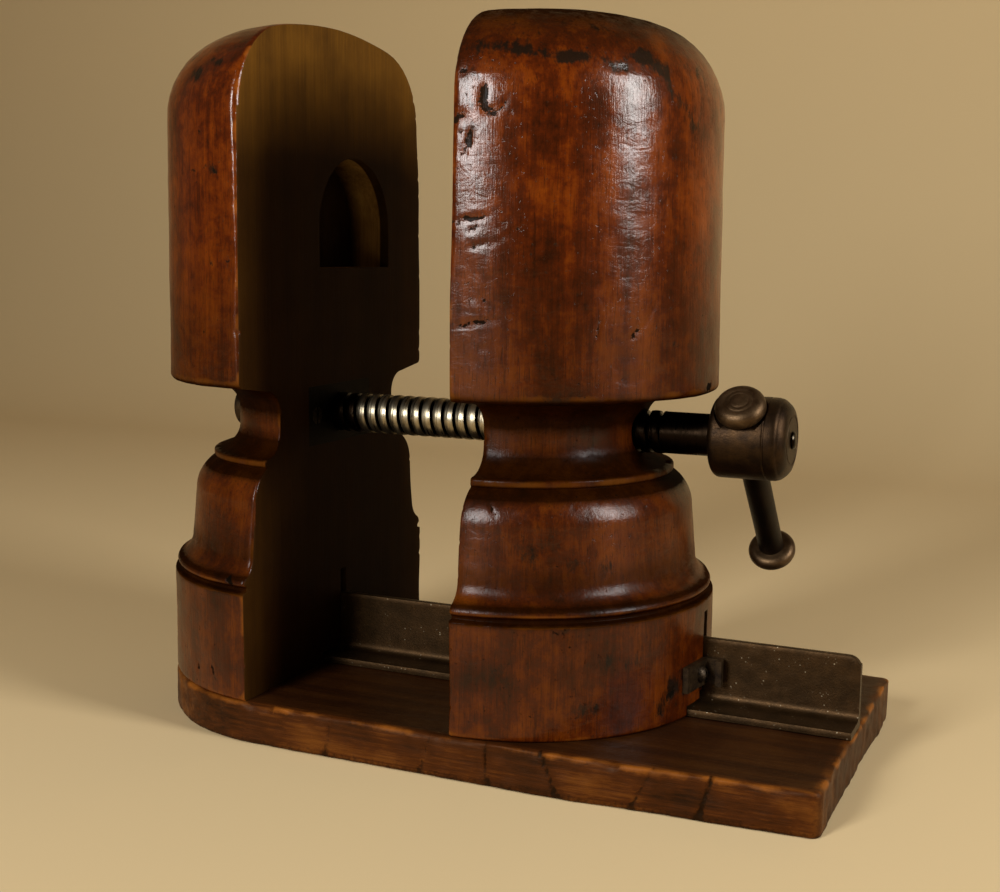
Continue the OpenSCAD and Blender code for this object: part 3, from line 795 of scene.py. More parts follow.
def varnished_hardwood(look):
    """Turned hardwood under old varnish. Red-brown clouds and streaks run up the block, open pores break
    the glints of the varnish into fine upright lines, its crinkles lie across them, handling has left
    black stains, dark scars and rubbed edges, and dirt with painted shade darkens the mouldings and the
    lower block."""
    finish, tree, shader = new_finish("varnished turned hardwood")
    spot = add(tree, "ShaderNodeTexCoord")["Object"]
    along = add(tree, "ShaderNodeMapping", {"Vector": spot, "Scale": (1, 1, 0.035)})[0]
    fibre = add(tree, "ShaderNodeMapping", {"Vector": spot, "Scale": (1, 1, 0.08)})[0]
    bands = add(tree, NOISE, {"Vector": along, "Scale": per_mm(11), "Detail": 3})[0]
    streaks = add(tree, NOISE, {"Vector": along, "Scale": per_mm(1.6), "Detail": 5, "Roughness": 0.7})[0]
    clouds = add(tree, NOISE, {"Vector": spot, "Scale": per_mm(27), "Detail": 7, "Roughness": 0.62})[0]
    # Real pores are near 0.15 mm wide and would not show, so they are drawn wider
    pores = add(tree, NOISE, {"Vector": fibre, "Scale": per_mm(0.55), "Detail": 2})[0]
    mottle = add(tree, NOISE, {"Vector": spot, "Scale": per_mm(4.5), "Detail": 7, "Roughness": 0.7})[0]
    grit = add(tree, NOISE, {"Vector": spot, "Scale": per_mm(1.8), "Detail": 4, "Roughness": 0.6})[0]
    upright = add(tree, "ShaderNodeMapping", {"Vector": spot, "Scale": (1, 1, 0.4)})[0]
    smear = add(tree, NOISE, {"Vector": upright, "Scale": per_mm(6.5), "Detail": 8, "Roughness": 0.74})[0]
    tone = 0.0
    for part, weight in ((bands, 0.30), (streaks, 0.24), (clouds, 0.58), (mottle, 0.40)):
        tone = add(tree, MATH, {0: part, 1: weight, 2: tone}, operation="MULTIPLY_ADD")[0]
    low = add(tree, RANGE, {"Value": tone, "From Min": 0.60, "From Max": 0.75})[0]
    high = add(tree, RANGE, {"Value": tone, "From Min": 0.73, "From Max": 0.92})[0]
    wood = add(tree, MIX, {0: low, MIX_A: look.varnish_dark, MIX_B: look.varnish_mid}, data_type="RGBA")[2]
    wood = add(tree, MIX, {0: high, MIX_A: wood, MIX_B: look.varnish_light}, data_type="RGBA")[2]
    open_pore = add(tree, RANGE, {"Value": pores, "From Min": 0.56, "From Max": 0.70, "To Max": 0.6})[0]
    wood = add(tree, MIX, {0: open_pore, MIX_A: wood, MIX_B: look.varnish_dark}, data_type="RGBA")[2]
    # The third layer holds dirt together with painted shade; the code below also lets it dull the varnish
    wood, (rubbed, soot, dirt, scar) = covered(tree, wood, (
        Layer("rubbed", mottle, 1.3, 1.0, 1.7, 0.8, look.rubbed),
        Layer("soot", smear, 3.2, 2.10, 2.45, 0.95, look.soot),
        Layer("dirt_and_shade", mottle, 0.7, 0.45, 1.3, 0.9, look.dirt_and_shade),
        Layer("scar", grit, 2.2, 1.42, 1.66, 0.95, look.soot),
    ))
    rough = add(tree, RANGE, {"Value": clouds, "From Min": 0.3, "From Max": 0.7,
                              "To Min": 0.27, "To Max": 0.40})[0]
    for part, weight in ((dirt, 0.2), (soot, 0.2), (scar, 0.5)):
        rough = add(tree, MATH, {0: part, 1: weight, 2: rough}, operation="MULTIPLY_ADD")[0]
    gloss = add(tree, MATH, {0: dirt, 1: -0.15, 2: 0.13}, operation="MULTIPLY_ADD", use_clamp=True)[0]
    coat = 0.72
    for part, weight in ((scar, -0.7), (rubbed, -0.4), (dirt, -0.75)):
        coat = add(tree, MATH, {0: part, 1: weight, 2: coat}, operation="MULTIPLY_ADD", use_clamp=True)[0]
    satin = add(tree, MATH, {0: dirt, 1: 0.2, 2: 0.14}, operation="MULTIPLY_ADD")[0]
    level = add(tree, "ShaderNodeMapping", {"Vector": spot, "Scale": (1, 1, 1.9)})[0]
    crinkles = add(tree, NOISE, {"Vector": level, "Scale": per_mm(7), "Detail": 4, "Roughness": 0.55,
                                 "Distortion": 0.8})[0]
    height = 0.0
    for part, weight in ((pores, -0.55), (streaks, 0.55), (mottle, 0.9), (scar, -1.2)):
        height = add(tree, MATH, {0: part, 1: weight, 2: height}, operation="MULTIPLY_ADD")[0]
    relief = add(tree, "ShaderNodeBump", {"Height": crinkles, "Strength": 0.13, "Distance": 1.1 * MM})[0]
    relief = add(tree, "ShaderNodeBump", {"Height": height, "Strength": 0.26, "Distance": 0.35 * MM,
                                          "Normal": relief})[0]
    fill(tree, shader, {
        "Base Color": wood,
        "Roughness": rough,
        "Normal": relief,
        "Specular IOR Level": gloss,
        "Specular Tint": look.gloss,
        "Coat Weight": coat,
        "Coat Roughness": satin,
        "Coat Tint": look.gloss,
        "Coat Normal": relief,
    })
    return finish


def plain_wood(name, light, dark, stretch, streak, roughness, relief_depth):
    """Wood without varnish: streaks along the grain between two colours, darkened in patches and by
    painted shade where the attribute oiled says, with a dull, fibrous surface."""
    finish, tree, shader = new_finish(name)
    spot = add(tree, "ShaderNodeTexCoord")["Object"]
    along = add(tree, "ShaderNodeMapping", {"Vector": spot, "Scale": stretch})[0]
    streaks = add(tree, NOISE, {"Vector": along, "Scale": per_mm(streak), "Detail": 6, "Roughness": 0.65})[0]
    bands = add(tree, NOISE, {"Vector": along, "Scale": per_mm(streak * 7), "Detail": 2})[0]
    clouds = add(tree, NOISE, {"Vector": spot, "Scale": per_mm(22), "Detail": 4})[0]
    tone = 0.0
    for part, weight in ((bands, 0.4), (streaks, 0.4), (clouds, 0.5)):
        tone = add(tree, MATH, {0: part, 1: weight, 2: tone}, operation="MULTIPLY_ADD")[0]
    share = add(tree, RANGE, {"Value": tone, "From Min": 0.40, "From Max": 0.95})[0]
    wood = add(tree, MIX, {0: share, MIX_A: dark, MIX_B: light}, data_type="RGBA")[2]
    # Painted shade: the attribute oiled darkens the sawn faces towards the bottom, and the pocket, slots and
    # bores, towards a near black
    dirt = add(tree, "ShaderNodeAttribute", attribute_name="oiled")["Fac"]
    dirt = add(tree, RANGE, {"Value": dirt, "To Max": 0.9})[0]
    wood = add(tree, MIX, {0: dirt, MIX_A: wood, MIX_B: linear(SHADE_ON_CUT_WOOD)}, data_type="RGBA")[2]
    rough = add(tree, RANGE, {"Value": streaks, "To Min": roughness - 0.1, "To Max": roughness + 0.1})[0]
    depth = relief_depth * MM
    relief = add(tree, "ShaderNodeBump", {"Height": streaks, "Strength": 0.5, "Distance": depth})[0]
    fill(tree, shader, {"Base Color": wood, "Roughness": rough, "Normal": relief,
                        "Specular IOR Level": 0.04})
    return finish


def sawn_hardwood(look):
    """The sawn and planed faces: old dry wood, dull and dark, with faint upright streaks and painted shade
    low down.
    """
    return plain_wood("sawn hardwood", look.sawn_light, look.sawn_dark, (1, 1, 0.04), 1.4, 0.62, 0.3)


def raw_hardwood(look):
    """Cut wood in the pocket, slots and bores: paler, with the gouge's grain; painted shade darkens it."""
    return plain_wood("raw gouged hardwood", look.raw, look.sawn_dark, (1, 1, 0.05), 1.1, 0.72, 0.4)


def oiled_board(look):
    """A plank under old oil and dirt: grain runs along the board, the top is dark and smooth from use and
    darkened by painted shade, the end grain is darker, partly painted shade, and the edges are rubbed
    down to pale wood with dirt in the cracks and a darker foot."""
    finish, tree, shader = new_finish("oiled hardwood plank")
    spot = add(tree, "ShaderNodeTexCoord")["Object"]
    along = add(tree, "ShaderNodeMapping", {"Vector": spot, "Scale": (0.04, 1, 1)})[0]
    bands = add(tree, NOISE, {"Vector": along, "Scale": per_mm(9), "Detail": 4, "Distortion": 0.4})[0]
    streaks = add(tree, NOISE, {"Vector": along, "Scale": per_mm(1.2), "Detail": 5, "Roughness": 0.7})[0]
    mottle = add(tree, NOISE, {"Vector": spot, "Scale": per_mm(6), "Detail": 6, "Roughness": 0.68})[0]
    clouds = add(tree, NOISE, {"Vector": spot, "Scale": per_mm(30), "Detail": 4})[0]
    grit = add(tree, NOISE, {"Vector": spot, "Scale": per_mm(1.5), "Detail": 4, "Roughness": 0.6})[0]
    tone = 0.0
    for part, weight in ((bands, 0.50), (streaks, 0.40), (clouds, 0.50)):
        tone = add(tree, MATH, {0: part, 1: weight, 2: tone}, operation="MULTIPLY_ADD")[0]
    low = add(tree, RANGE, {"Value": tone, "From Min": 0.52, "From Max": 0.70})[0]
    high = add(tree, RANGE, {"Value": tone, "From Min": 0.68, "From Max": 0.90})[0]
    wood = add(tree, MIX, {0: low, MIX_A: look.board_dark, MIX_B: look.board_mid}, data_type="RGBA")[2]
    wood = add(tree, MIX, {0: high, MIX_A: wood, MIX_B: look.board_light}, data_type="RGBA")[2]
    # Darker top and end grain from the attribute handled: partly wear and partly painted shade
    top = add(tree, "ShaderNodeAttribute", attribute_name="handled")["Fac"]
    top = add(tree, RANGE, {"Value": top, "To Max": 0.8})[0]
    wood = add(tree, MIX, {0: top, MIX_A: wood, MIX_B: look.board_dark}, data_type="RGBA")[2]
    wood, (_, dirt) = covered(tree, wood, (
        Layer("rubbed", mottle, 1.3, 1.0, 1.7, 0.8, look.rubbed),
        Layer("dirt_and_shade", grit, 1.0, 0.85, 1.25, 0.85, look.dirt_and_shade),
    ))
    rough = add(tree, RANGE, {"Value": mottle, "From Min": 0.3, "From Max": 0.7,
                              "To Min": 0.36, "To Max": 0.54})[0]
    height = add(tree, MATH, {0: mottle, 1: 0.8, 2: streaks}, operation="MULTIPLY_ADD")[0]
    height = add(tree, MATH, {0: dirt, 1: -0.8, 2: height}, operation="MULTIPLY_ADD")[0]
    relief = add(tree, "ShaderNodeBump", {"Height": height, "Strength": 0.45, "Distance": 0.4 * MM})[0]
    fill(tree, shader, {"Base Color": wood, "Roughness": rough, "Normal": relief,
                        "Specular Tint": look.gloss, "Specular IOR Level": 0.12})
    return finish


def worn_iron(name, light, dark, film, roughness, metallic, pit, speck=None):
    """Old iron under a brown film: two tones in clouds of the size film, shallow pits of the size pit
    and, where asked, bright specks of bare metal."""
    finish, tree, shader = new_finish(name)
    spot = add(tree, "ShaderNodeTexCoord")["Object"]
    clouds = add(tree, NOISE, {"Vector": spot, "Scale": per_mm(film), "Detail": 6, "Roughness": 0.65})[0]
    grit = add(tree, NOISE, {"Vector": spot, "Scale": per_mm(pit), "Detail": 4, "Roughness": 0.6})[0]
    share = add(tree, RANGE, {"Value": clouds, "From Min": 0.36, "From Max": 0.64})[0]
    metal = add(tree, MIX, {0: share, MIX_A: dark, MIX_B: light}, data_type="RGBA")[2]
    rough = add(tree, RANGE, {"Value": grit, "From Min": 0.3, "From Max": 0.7,
                              "To Min": roughness - 0.08, "To Max": roughness + 0.1})[0]
    relief = add(tree, "ShaderNodeBump", {"Height": grit, "Strength": 0.4, "Distance": 0.25 * MM})[0]
    if speck is not None:
        # Specks of 0.2 mm would not show, so they are drawn wider
        dots = add(tree, "ShaderNodeTexVoronoi", {"Vector": spot, "Scale": per_mm(1.9)})["Distance"]
        dots = add(tree, RANGE, {"Value": dots, "From Min": 0.19, "From Max": 0.10})[0]
        bright = add(tree, RANGE, {"Value": clouds, "From Min": 0.53, "From Max": 0.60})[0]
        bright = add(tree, MATH, {0: dots, 1: bright}, operation="MULTIPLY")[0]
        metal = add(tree, MIX, {0: bright, MIX_A: metal, MIX_B: speck}, data_type="RGBA")[2]
    fill(tree, shader, {"Base Color": metal, "Roughness": rough, "Normal": relief, "Metallic": metallic})
    return finish


def browned_iron(look):
    """Rolled angle iron gone brown: a thin rust film with small bright specks and pits."""
    return worn_iron("browned rolled iron", look.rail, look.rail_dark, 9, 0.46, 0.85, 0.9, look.speck)


def handled_iron(look):
    """Turned iron polished by hands to a brown-black satin."""
    return worn_iron("handled turned iron", look.handle, look.handle_dark, 7, 0.42, 0.9, 0.5)


def polished_iron(look):
    """Turned knobs that hands have rubbed brighter than the rest."""
    return worn_iron("hand polished iron", look.knob, look.handle, 7, 0.42, 0.85, 0.5)


def bar_iron(look):
    """A drawn bar, nearly black with oil and handling."""
    return worn_iron("blackened drawn iron", look.handle_dark, look.root, 7, 0.45, 0.9, 0.5)


def black_iron(look):
    """Forged plate iron, black and dull."""
    return worn_iron("black forged iron", look.black, look.handle_dark, 5, 0.48, 0.8, 0.6)


def shaded_plate_iron(look):
    """Sawn plate iron let into the wood, near black to match the painted shade of the sawn face."""
    return worn_iron("oiled plate iron", look.plate, look.plate, 6, 0.7, 1.0, 0.8)


def screw_steel(look):
    """Cut wood screws, darkened by age."""
    return worn_iron("darkened cut steel", look.fastener, look.root, 2, 0.42, 0.9, 0.3)


def thread_steel(look):
    """A lathe-cut thread: the crests are polished bright by the nut, with fine turned lines, and the
    roots hold black oil."""
    finish, tree, shader = new_finish("lathe cut thread steel")
    spot = add(tree, "ShaderNodeTexCoord")["Object"]
    round_lines = add(tree, "ShaderNodeMapping", {"Vector": spot, "Scale": (1, 0.06, 0.06)})[0]
    # Lines from a cutting tool lie near 0.1 mm apart and would not show, so they are drawn coarser
    lines = add(tree, NOISE, {"Vector": round_lines, "Scale": per_mm(0.8), "Detail": 3})[0]
    film = add(tree, NOISE, {"Vector": spot, "Scale": per_mm(4), "Detail": 6, "Roughness": 0.65})[0]
    crest = add(tree, "ShaderNodeAttribute", attribute_name="crest")["Fac"]
    worn = add(tree, MATH, {0: film, 1: -0.5, 2: crest}, operation="MULTIPLY_ADD")[0]
    worn = add(tree, RANGE, {"Value": worn, "From Min": 0.35, "From Max": 0.75})[0]
    metal = add(tree, MIX, {0: worn, MIX_A: look.root, MIX_B: look.crest}, data_type="RGBA")[2]
    rough = add(tree, RANGE, {"Value": lines, "From Min": 0.3, "From Max": 0.7,
                              "To Min": 0.24, "To Max": 0.42})[0]
    relief = add(tree, "ShaderNodeBump", {"Height": lines, "Strength": 0.7, "Distance": 0.2 * MM})[0]
    fill(tree, shader, {"Base Color": metal, "Roughness": rough, "Normal": relief, "Metallic": 1.0})
    return finish


def pale_sweep(look):
    """Matt painted sweep, plain and pale."""
    finish, tree, shader = new_finish("matt painted sweep")
    fill(tree, shader, {"Base Color": look.floor, "Roughness": 0.9, "Specular IOR Level": 0.2})
    return finish


# Turned halves


def swoop(r0, z0, r1, z1, steps=10):
    """An arc that leaves (r0, z0) upright and ends at (r1, z1): its radius is
    (dr squared + dz squared) / (2 dr), and it turns until it reaches the end."""
    dr = r1 - r0
    dz = z1 - z0
    radius = (dr * dr + dz * dz) / (2 * abs(dr))
    turn = math.atan2(abs(dz), radius - abs(dr))
    a = turn * np.linspace(0, 1, steps + 1)
    across = r0 + np.sign(dr) * radius * (1 - np.cos(a))
    return np.column_stack([across, z0 + np.sign(dz) * radius * np.sin(a)])


def turned_profile():
    """Half section of the turned block: radius against height above the board."""
    top_radius = (TOP_R * TOP_R + TOP_RISE * TOP_RISE) / (2 * TOP_RISE)
    a = np.linspace(math.asin(TOP_R / top_radius), 0, 12)
    top = np.column_stack([top_radius * np.sin(a), TOP_Z + TOP_RISE - top_radius * (1 - np.cos(a))])
    foot_r = BLOCK_R - QUIRK_DEPTH
    list_foot_r = LIST_R - LIST_QUIRK
    return np.concatenate([
        [[BLOCK_R - FOOT_ARRIS, 0], [BLOCK_R, FOOT_ARRIS], [BLOCK_R, PLINTH_H]],
        [[foot_r, PLINTH_H + 0.5], [foot_r, BEAD_Z], [BEAD_R, BEAD_Z + 1], [BEAD_R, BEAD_Z + 2]],
        swoop(BELL_FOOT_R, BELL_Z, BEAD_R - 1, COVE_Z)[::-1],
        swoop(BELL_TOP_R, SHOULDER_Z, list_foot_r, LIST_Z),
        [[LIST_R, LIST_Z + LIST_QUIRK / 2], [LIST_R, LOW_COVE_Z - LIST_QUIRK / 2]],
        swoop(NECK_R, NECK_Z, list_foot_r, LOW_COVE_Z)[::-1],
        swoop(NECK_R, HIGH_COVE_Z, UNDER_R, UNDER_Z),
        swoop(BLOCK_R, RIM_Z + RIM_ROUND, BLOCK_R - RIM_ROUND, RIM_Z)[::-1],
        swoop(DOME_R, DOME_Z, TOP_R, TOP_Z),
        top[1:],
    ])


def worn_profile(rows, worn=0.9, fine=0.2):
    """The profile with its edges worn: resampled finely, smoothed over a window of the worn size, and
    sampled again with rows that lie closer where it bends. Gives radius, height and normal."""
    line = resample(turned_profile(), fine)
    window = np.hanning(2 * int(worn / fine) + 3)
    window /= window.sum()
    reach = len(window) // 2
    padded = np.concatenate([2 * line[0] - line[reach:0:-1], line, 2 * line[-1] - line[-2:-reach - 2:-1]])
    line = np.column_stack([np.convolve(column, window, "valid") for column in padded.T])
    run = np.gradient(line, axis=0)
    heading = np.unwrap(np.arctan2(run[:, 1], run[:, 0]))
    density = 1 + np.minimum(3.0 * np.abs(np.gradient(heading)) / fine, 2.5)
    measure = np.concatenate([[0], np.cumsum((density[1:] + density[:-1]) / 2)])
    at = np.interp(np.linspace(0, measure[-1], rows), measure, np.arange(len(line)))
    radius, height = (np.interp(at, np.arange(len(line)), column) for column in line.T)
    heading = np.interp(at, np.arange(len(line)), heading)
    return radius, height, np.sin(heading), -np.cos(heading)


def mark_depth(marks, angle, height, radius):
    """Sum of all marks at the given places: each is its depth times a bump that is blunt along the mark
    (fourth power) and soft across it (second power)."""
    total = np.zeros(np.broadcast(angle, height, radius).shape)
    for mark in marks:
        across = np.radians(angle - mark.angle) * radius
        up = height - mark.height
        lean = math.radians(mark.lean)
        along = across * math.cos(lean) + up * math.sin(lean)
        off = up * math.cos(lean) - across * math.sin(lean)
        total += mark.depth * np.exp(-(along / mark.length) ** 4 - (off / mark.width) ** 2)
    return total


def arris_round(height, mean, seed):
    """Rounding of one sawn edge at each height: a mean with slow and quick lumps, chipped where the
    quick ones peak, and worn most where hands hold the crown."""
    line = height[:, None]
    slow = 0.35 * lumps(line, 70, seed)
    chips = np.clip(lumps(line, 9, seed + 1) - 1.1, 0, None)
    held = HELD_WEAR * np.exp(-((height - HELD_Z) / HELD_REACH) ** 2)
    return np.clip(mean * (1 + slow + held) + 0.9 * chips, ARRIS_LEAST, ARRIS_MOST)


def half_block(name, axis_x, out, loss, foot_gap, marks, look, seed):
    """One half of the turned block. At each height it is a D: an arc of the turned radius r, a straight
    sawn side at the distance loss from the turning's axis, and two worn corners, each an arc of radius w
    that touches both, centred at (loss + w, sqrt((r - w)^2 - (loss + w)^2)). The D is carried up the worn
    profile, and dents, cracks and slow waves move the turned side along its normal."""
    radius, height, normal_r, normal_z = worn_profile(HALF_ROWS)
    kept = radius > loss + 0.25
    radius, height, normal_r, normal_z = (part[kept] for part in (radius, height, normal_r, normal_z))
    height = np.maximum(height, foot_gap)
    mean = look.arris_wear / MM
    limit = 0.4 * (radius - loss)
    near = np.minimum(arris_round(height, mean, seed), limit)[:, None]
    far = np.minimum(arris_round(height, mean, seed + 10), limit)[:, None]
    r = radius[:, None]
    near_y = np.sqrt((r - near) ** 2 - (loss + near) ** 2)
    far_y = np.sqrt((r - far) ** 2 - (loss + far) ** 2)
    near_end = np.arctan2(near_y, loss + near)
    far_end = np.arctan2(far_y, loss + far)
    front = np.linspace(0, FRONT_SHARE, FRONT_STEPS, endpoint=False)
    share = np.concatenate([front, np.linspace(FRONT_SHARE, 1, BACK_STEPS, endpoint=False)])
    arc = -near_end + share * (near_end + far_end)
    corner = np.linspace(0, 1, CORNER_STEPS, endpoint=False)
    far_turn = far_end + corner * (math.pi - far_end)
    near_turn = -math.pi + corner * (math.pi - near_end)
    face = np.linspace(0, 1, FACE_STEPS, endpoint=False)
    face_y = far_y - face * (far_y + near_y)
    depth_parts = (r * np.cos(arc), loss + far + far * np.cos(far_turn), np.full_like(face_y, loss),
                   loss + near + near * np.cos(near_turn))
    width_parts = (r * np.sin(arc), far_y + far * np.sin(far_turn), face_y,
                   -near_y + near * np.sin(near_turn))
    facing = np.concatenate([arc, far_turn, np.full_like(face_y, math.pi), near_turn], axis=1)
    depth = np.concatenate(depth_parts, axis=1)
    width = np.concatenate(width_parts, axis=1)
    level = np.broadcast_to(height[:, None], depth.shape)
    points = np.stack([axis_x + out * depth, width, BOARD_T + level], axis=-1)
    turned = np.clip((depth - loss) / SIDE_FADE, 0, 1)
    angle = 90 + np.degrees(np.arctan2(width, depth))
    sunk = look.dent_depth * mark_depth(marks, angle, level, r)
    slow = SLOW_WAVE_H * lumps(points, SLOW_WAVE, seed + 20)
    waves = slow + QUICK_WAVE_H * lumps(points, QUICK_WAVE, seed + 21)
    move = turned * (waves - sunk) + (1 - turned) * SAWN_WAVE_H * lumps(points, SAWN_WAVE, seed + 22)
    inside = np.clip(level / 3, 0, 1)
    move = move * inside
    lean_r = turned * normal_r[:, None] + (1 - turned)
    lean_z = turned * normal_z[:, None]
    heading = np.stack([out * lean_r * np.cos(facing), lean_r * np.sin(facing), lean_z], axis=-1)
    return make_mesh(name, tube(points + move[..., None] * heading))


def rail_room(start, end):
    """Cutters for the rail in the foot of a half: a slot for the web, a rebate for the foot and room
    for the fillet between them."""
    low = BOARD_T - 1
    foot_top = BOARD_T + RAIL_T + FOOT_HEADROOM
    return [
        prism(rectangle(-SLOT_SIDE, RAIL_T + SLOT_SIDE, low, BOARD_T + SLOT_H), start, end),
        prism(rectangle(RAIL_LOW[1] - SLOT_SIDE, SLOT_SIDE, low, foot_top), start, end),
        prism(rectangle(-RAIL_FILLET - SLOT_SIDE, SLOT_SIDE, low, foot_top + RAIL_FILLET), start, end),
    ]


def plate_room(low, high, start, end):
    """Cutter for a plate that is let into a sawn face."""
    return prism(rectangle(low[1] - FIT, high[1] + FIT, low[2] - FIT, high[2] + FIT), start, end)


def pocket():
    """Cutter for the pocket: upright sides on a flat floor, under a half circle."""
    t = np.linspace(0, math.pi, 60)
    arch = np.column_stack([POCKET_R * np.cos(t), POCKET_SIDE_H + POCKET_R * np.sin(t)])
    outline = np.concatenate([[[POCKET_R, 0]], arch, [[-POCKET_R, 0]]]) + (POCKET_BACK, POCKET_FLOOR)
    return prism(outline, -POCKET_DEPTH, POCKET_FADE - POCKET_DEPTH, -POCKET_LIP - 0.3, -POCKET_LIP + 0.3, 1)


def clip_seat():
    """Cutter for the flat under the clip's foot, a box turned with the foot round the plinth."""
    middle = (CLIP_LOW[2] + CLIP_HIGH[2]) / 2
    half = (CLIP_HIGH[2] - CLIP_LOW[2]) / 2 + 0.1
    reach = CLIP_FOOT / 2 + 0.1
    block = prism(rectangle(-reach, reach, middle - half, middle + half), CLIP_FLAT, CLIP_FLAT + 12)
    return block._replace(points=turned_about(block.points, CLIP_TURN))


def turned_about(points, angle):
    """Points turned about the upright axis of the moving half and set down there."""
    cos = math.cos(angle)
    sin = math.sin(angle)
    x, y, z = points.T
    return np.column_stack([OPENING + x * cos - y * sin, x * sin + y * cos, z])


def band_sum(bands, height):
    """Sum of soft bands: strength times exp of minus the squared distance over the half width."""
    total = np.zeros_like(height)
    for middle, width, strength in bands:
        total += strength * np.exp(-((height - middle) / width) ** 2)
    return total


def dress_half(mesh, axis_x, out, loss, marks, stains, top_dirt, seed):
    """Marks sawn faces, and stores dirt with painted shade, painted shade on the sawn faces and in the
    pocket, stains and rubbed wood for every point from its place.
    """
    points = mesh_points(mesh)
    depth = out * (points[:, 0] - axis_x)
    height = points[:, 2] - BOARD_T
    radius = np.hypot(depth, points[:, 1])
    angle = 90 + np.degrees(np.arctan2(points[:, 1], depth))
    beyond = np.clip(depth - loss, 0, None)
    sunk = np.clip(mark_depth(marks, angle, height, radius), 0, None)
    rough = lumps(points, 16, seed + 30)
    edge = np.exp(-(beyond / EDGE_RUB) ** 2) * np.clip(0.35 + 0.6 * rough, 0, 1)
    # Dirt and painted shade from the bands, with dirt on the crown's top
    set_attribute(mesh, "dirt_and_shade", np.clip(band_sum((*SHADE_AND_DIRT_BANDS, top_dirt), height), 0, 1.2))
    set_attribute(mesh, "scar", np.clip(1.4 * (sunk - 0.22), 0, 1))
    # Painted shadow of the moving half on the sawn faces, stored as oiled: dark towards the bottom, lit
    # above a set height that lies lower towards the rim
    rim = np.clip((np.abs(points[:, 1]) - SAWN_RIM_Y) / SAWN_RIM_WIDTH, 0, 1)
    oiled = np.clip((SAWN_SHADE_TOP_Z - SAWN_LIGHT_DROP * rim - height) / SAWN_SHADE_FADE, 0, 1) * (1 - 0.12 * rim)
    # Painted shade in the pocket: past the lip it darkens towards the back over the fade depth, and the lip
    # keeps the sawn face's painted shade
    in_pocket = (points[:, 2] > POCKET_FLOOR - 1) & (np.abs(points[:, 1] - POCKET_BACK) < POCKET_R + 1)
    in_pocket &= (beyond > POCKET_LIP) & (beyond < POCKET_DEPTH + 1)
    pale = np.clip((POCKET_DEPTH - beyond) / POCKET_FADE, 0, 1)
    set_attribute(mesh, "oiled", np.where(in_pocket, 1 - pale, oiled))
    set_attribute(mesh, "rubbed", np.clip(edge + band_sum(RUBBED_BANDS, height) * (0.8 + 0.3 * rough), 0, 1))
    set_attribute(mesh, "soot", np.clip(mark_depth(stains, angle, height, radius), 0, 1))
    count = len(mesh.polygons)
    slots = np.empty(count, np.int32)
    mesh.polygons.foreach_get("material_index", slots)
    normals = np.empty(count * 3, np.float32)
    mesh.polygons.foreach_get("normal", normals)
    centres = np.empty(count * 3, np.float32)
    mesh.polygons.foreach_get("center", centres)
    faces_saw = out * normals.reshape(-1, 3)[:, 0] < -0.85
    at_saw = np.abs(out * (centres.reshape(-1, 3)[:, 0] / MM - axis_x) - loss) < 0.3
    slots[faces_saw & at_saw & (slots == 0)] = 1
    mesh.polygons.foreach_set("material_index", slots)


class HAT_STRETCHER_OT_turned_halves(bpy.types.Operator):
    """Make the fixed and the moving half of the turned block"""

    bl_idname = "hat_stretcher.turned_halves"
    bl_label = "Turned Halves"

    def execute(self, context):
        look = context.scene.hat_wood
        finishes = (varnished_hardwood(look), sawn_hardwood(look), raw_hardwood(look))
        fixed_cuts = [
            *rail_room(RAIL_LOW[0] - 0.1, 1),
            plate_room(PLATE_LOW, PLATE_HIGH, PLATE_LOW[0], 1),
            prism(circle(TAIL_BORE_R, SCREW_Z), -BLOCK_R, 1),
            prism(circle(WASHER_HIGH[1] + FIT, SCREW_Z), -BLOCK_R, SEAT_X),
            pocket(),
        ]
        nut_bore = circle((NUT_HIGH[2] - NUT_LOW[2]) / 2 + FIT, SCREW_Z)
        moving_cuts = [
            *rail_room(OPENING - 1, OPENING + BLOCK_R + 5),
            plate_room(NUT_LOW, NUT_HIGH, OPENING - 1, OPENING + 4),
            prism(nut_bore, OPENING - 1, NUT_HIGH[0]),
            prism(circle(SCREW_BORE_R, SCREW_Z), OPENING - 1, OPENING + BLOCK_R + 5),
            clip_seat(),
        ]
        halves = (
            ("fixed_half", FIXED_AXIS, -1, FIXED_AXIS, 0, FIXED_MARKS, FIXED_STAINS, FIXED_TOP_DIRT,
             fixed_cuts, "frame", 5),
            ("moving_half", OPENING, 1, 0, SLIDE_GAP, MOVING_MARKS, MOVING_STAINS, MOVING_TOP_DIRT,
             moving_cuts, "slider", 77),
        )
        for node, axis_x, out, loss, gap, marks, stains, top_dirt, cuts, body, seed in halves:
            mesh = half_block(node + "_turned", axis_x, out, loss, gap, marks, look, seed)
            for finish in finishes:
                mesh.materials.append(finish)
            mesh = carve(mesh, cuts, cut_slot=2)
            dress_half(mesh, axis_x, out, loss, marks, stains, top_dirt, seed)
            place(node + "_turned", mesh, body, "turned_wood", node)
        return {"FINISHED"}


# Board


def board_outline(step):
    """Outline of the board from the middle of its square end: round corners, sides that taper to the
    square end, and a half circle under the fixed half."""
    end_x = BOARD_HIGH[0]
    taper_x = end_x - BOARD_TAPER_LEN
    t = np.linspace(math.pi / 2, 1.5 * math.pi, 60)
    half_circle = np.column_stack([FIXED_AXIS + BOARD_HALF * np.cos(t), BOARD_HALF * np.sin(t)])
    c = np.linspace(0, math.pi / 2, 8)
    corner_x = end_x - BOARD_CORNER_R
    corner_y = BOARD_END_HALF - BOARD_CORNER_R
    turn = BOARD_CORNER_R * np.column_stack([np.cos(c), np.sin(c)])
    back_corner = turn + (corner_x, corner_y)
    front_corner = back_corner[::-1] * (1, -1)
    line = np.concatenate([
        [[end_x, 0]], back_corner, [[taper_x, BOARD_HALF]], half_circle,
        [[taper_x, -BOARD_HALF]], front_corner, [[end_x, 0]],
    ])
    return resample(line, step)[:-1]


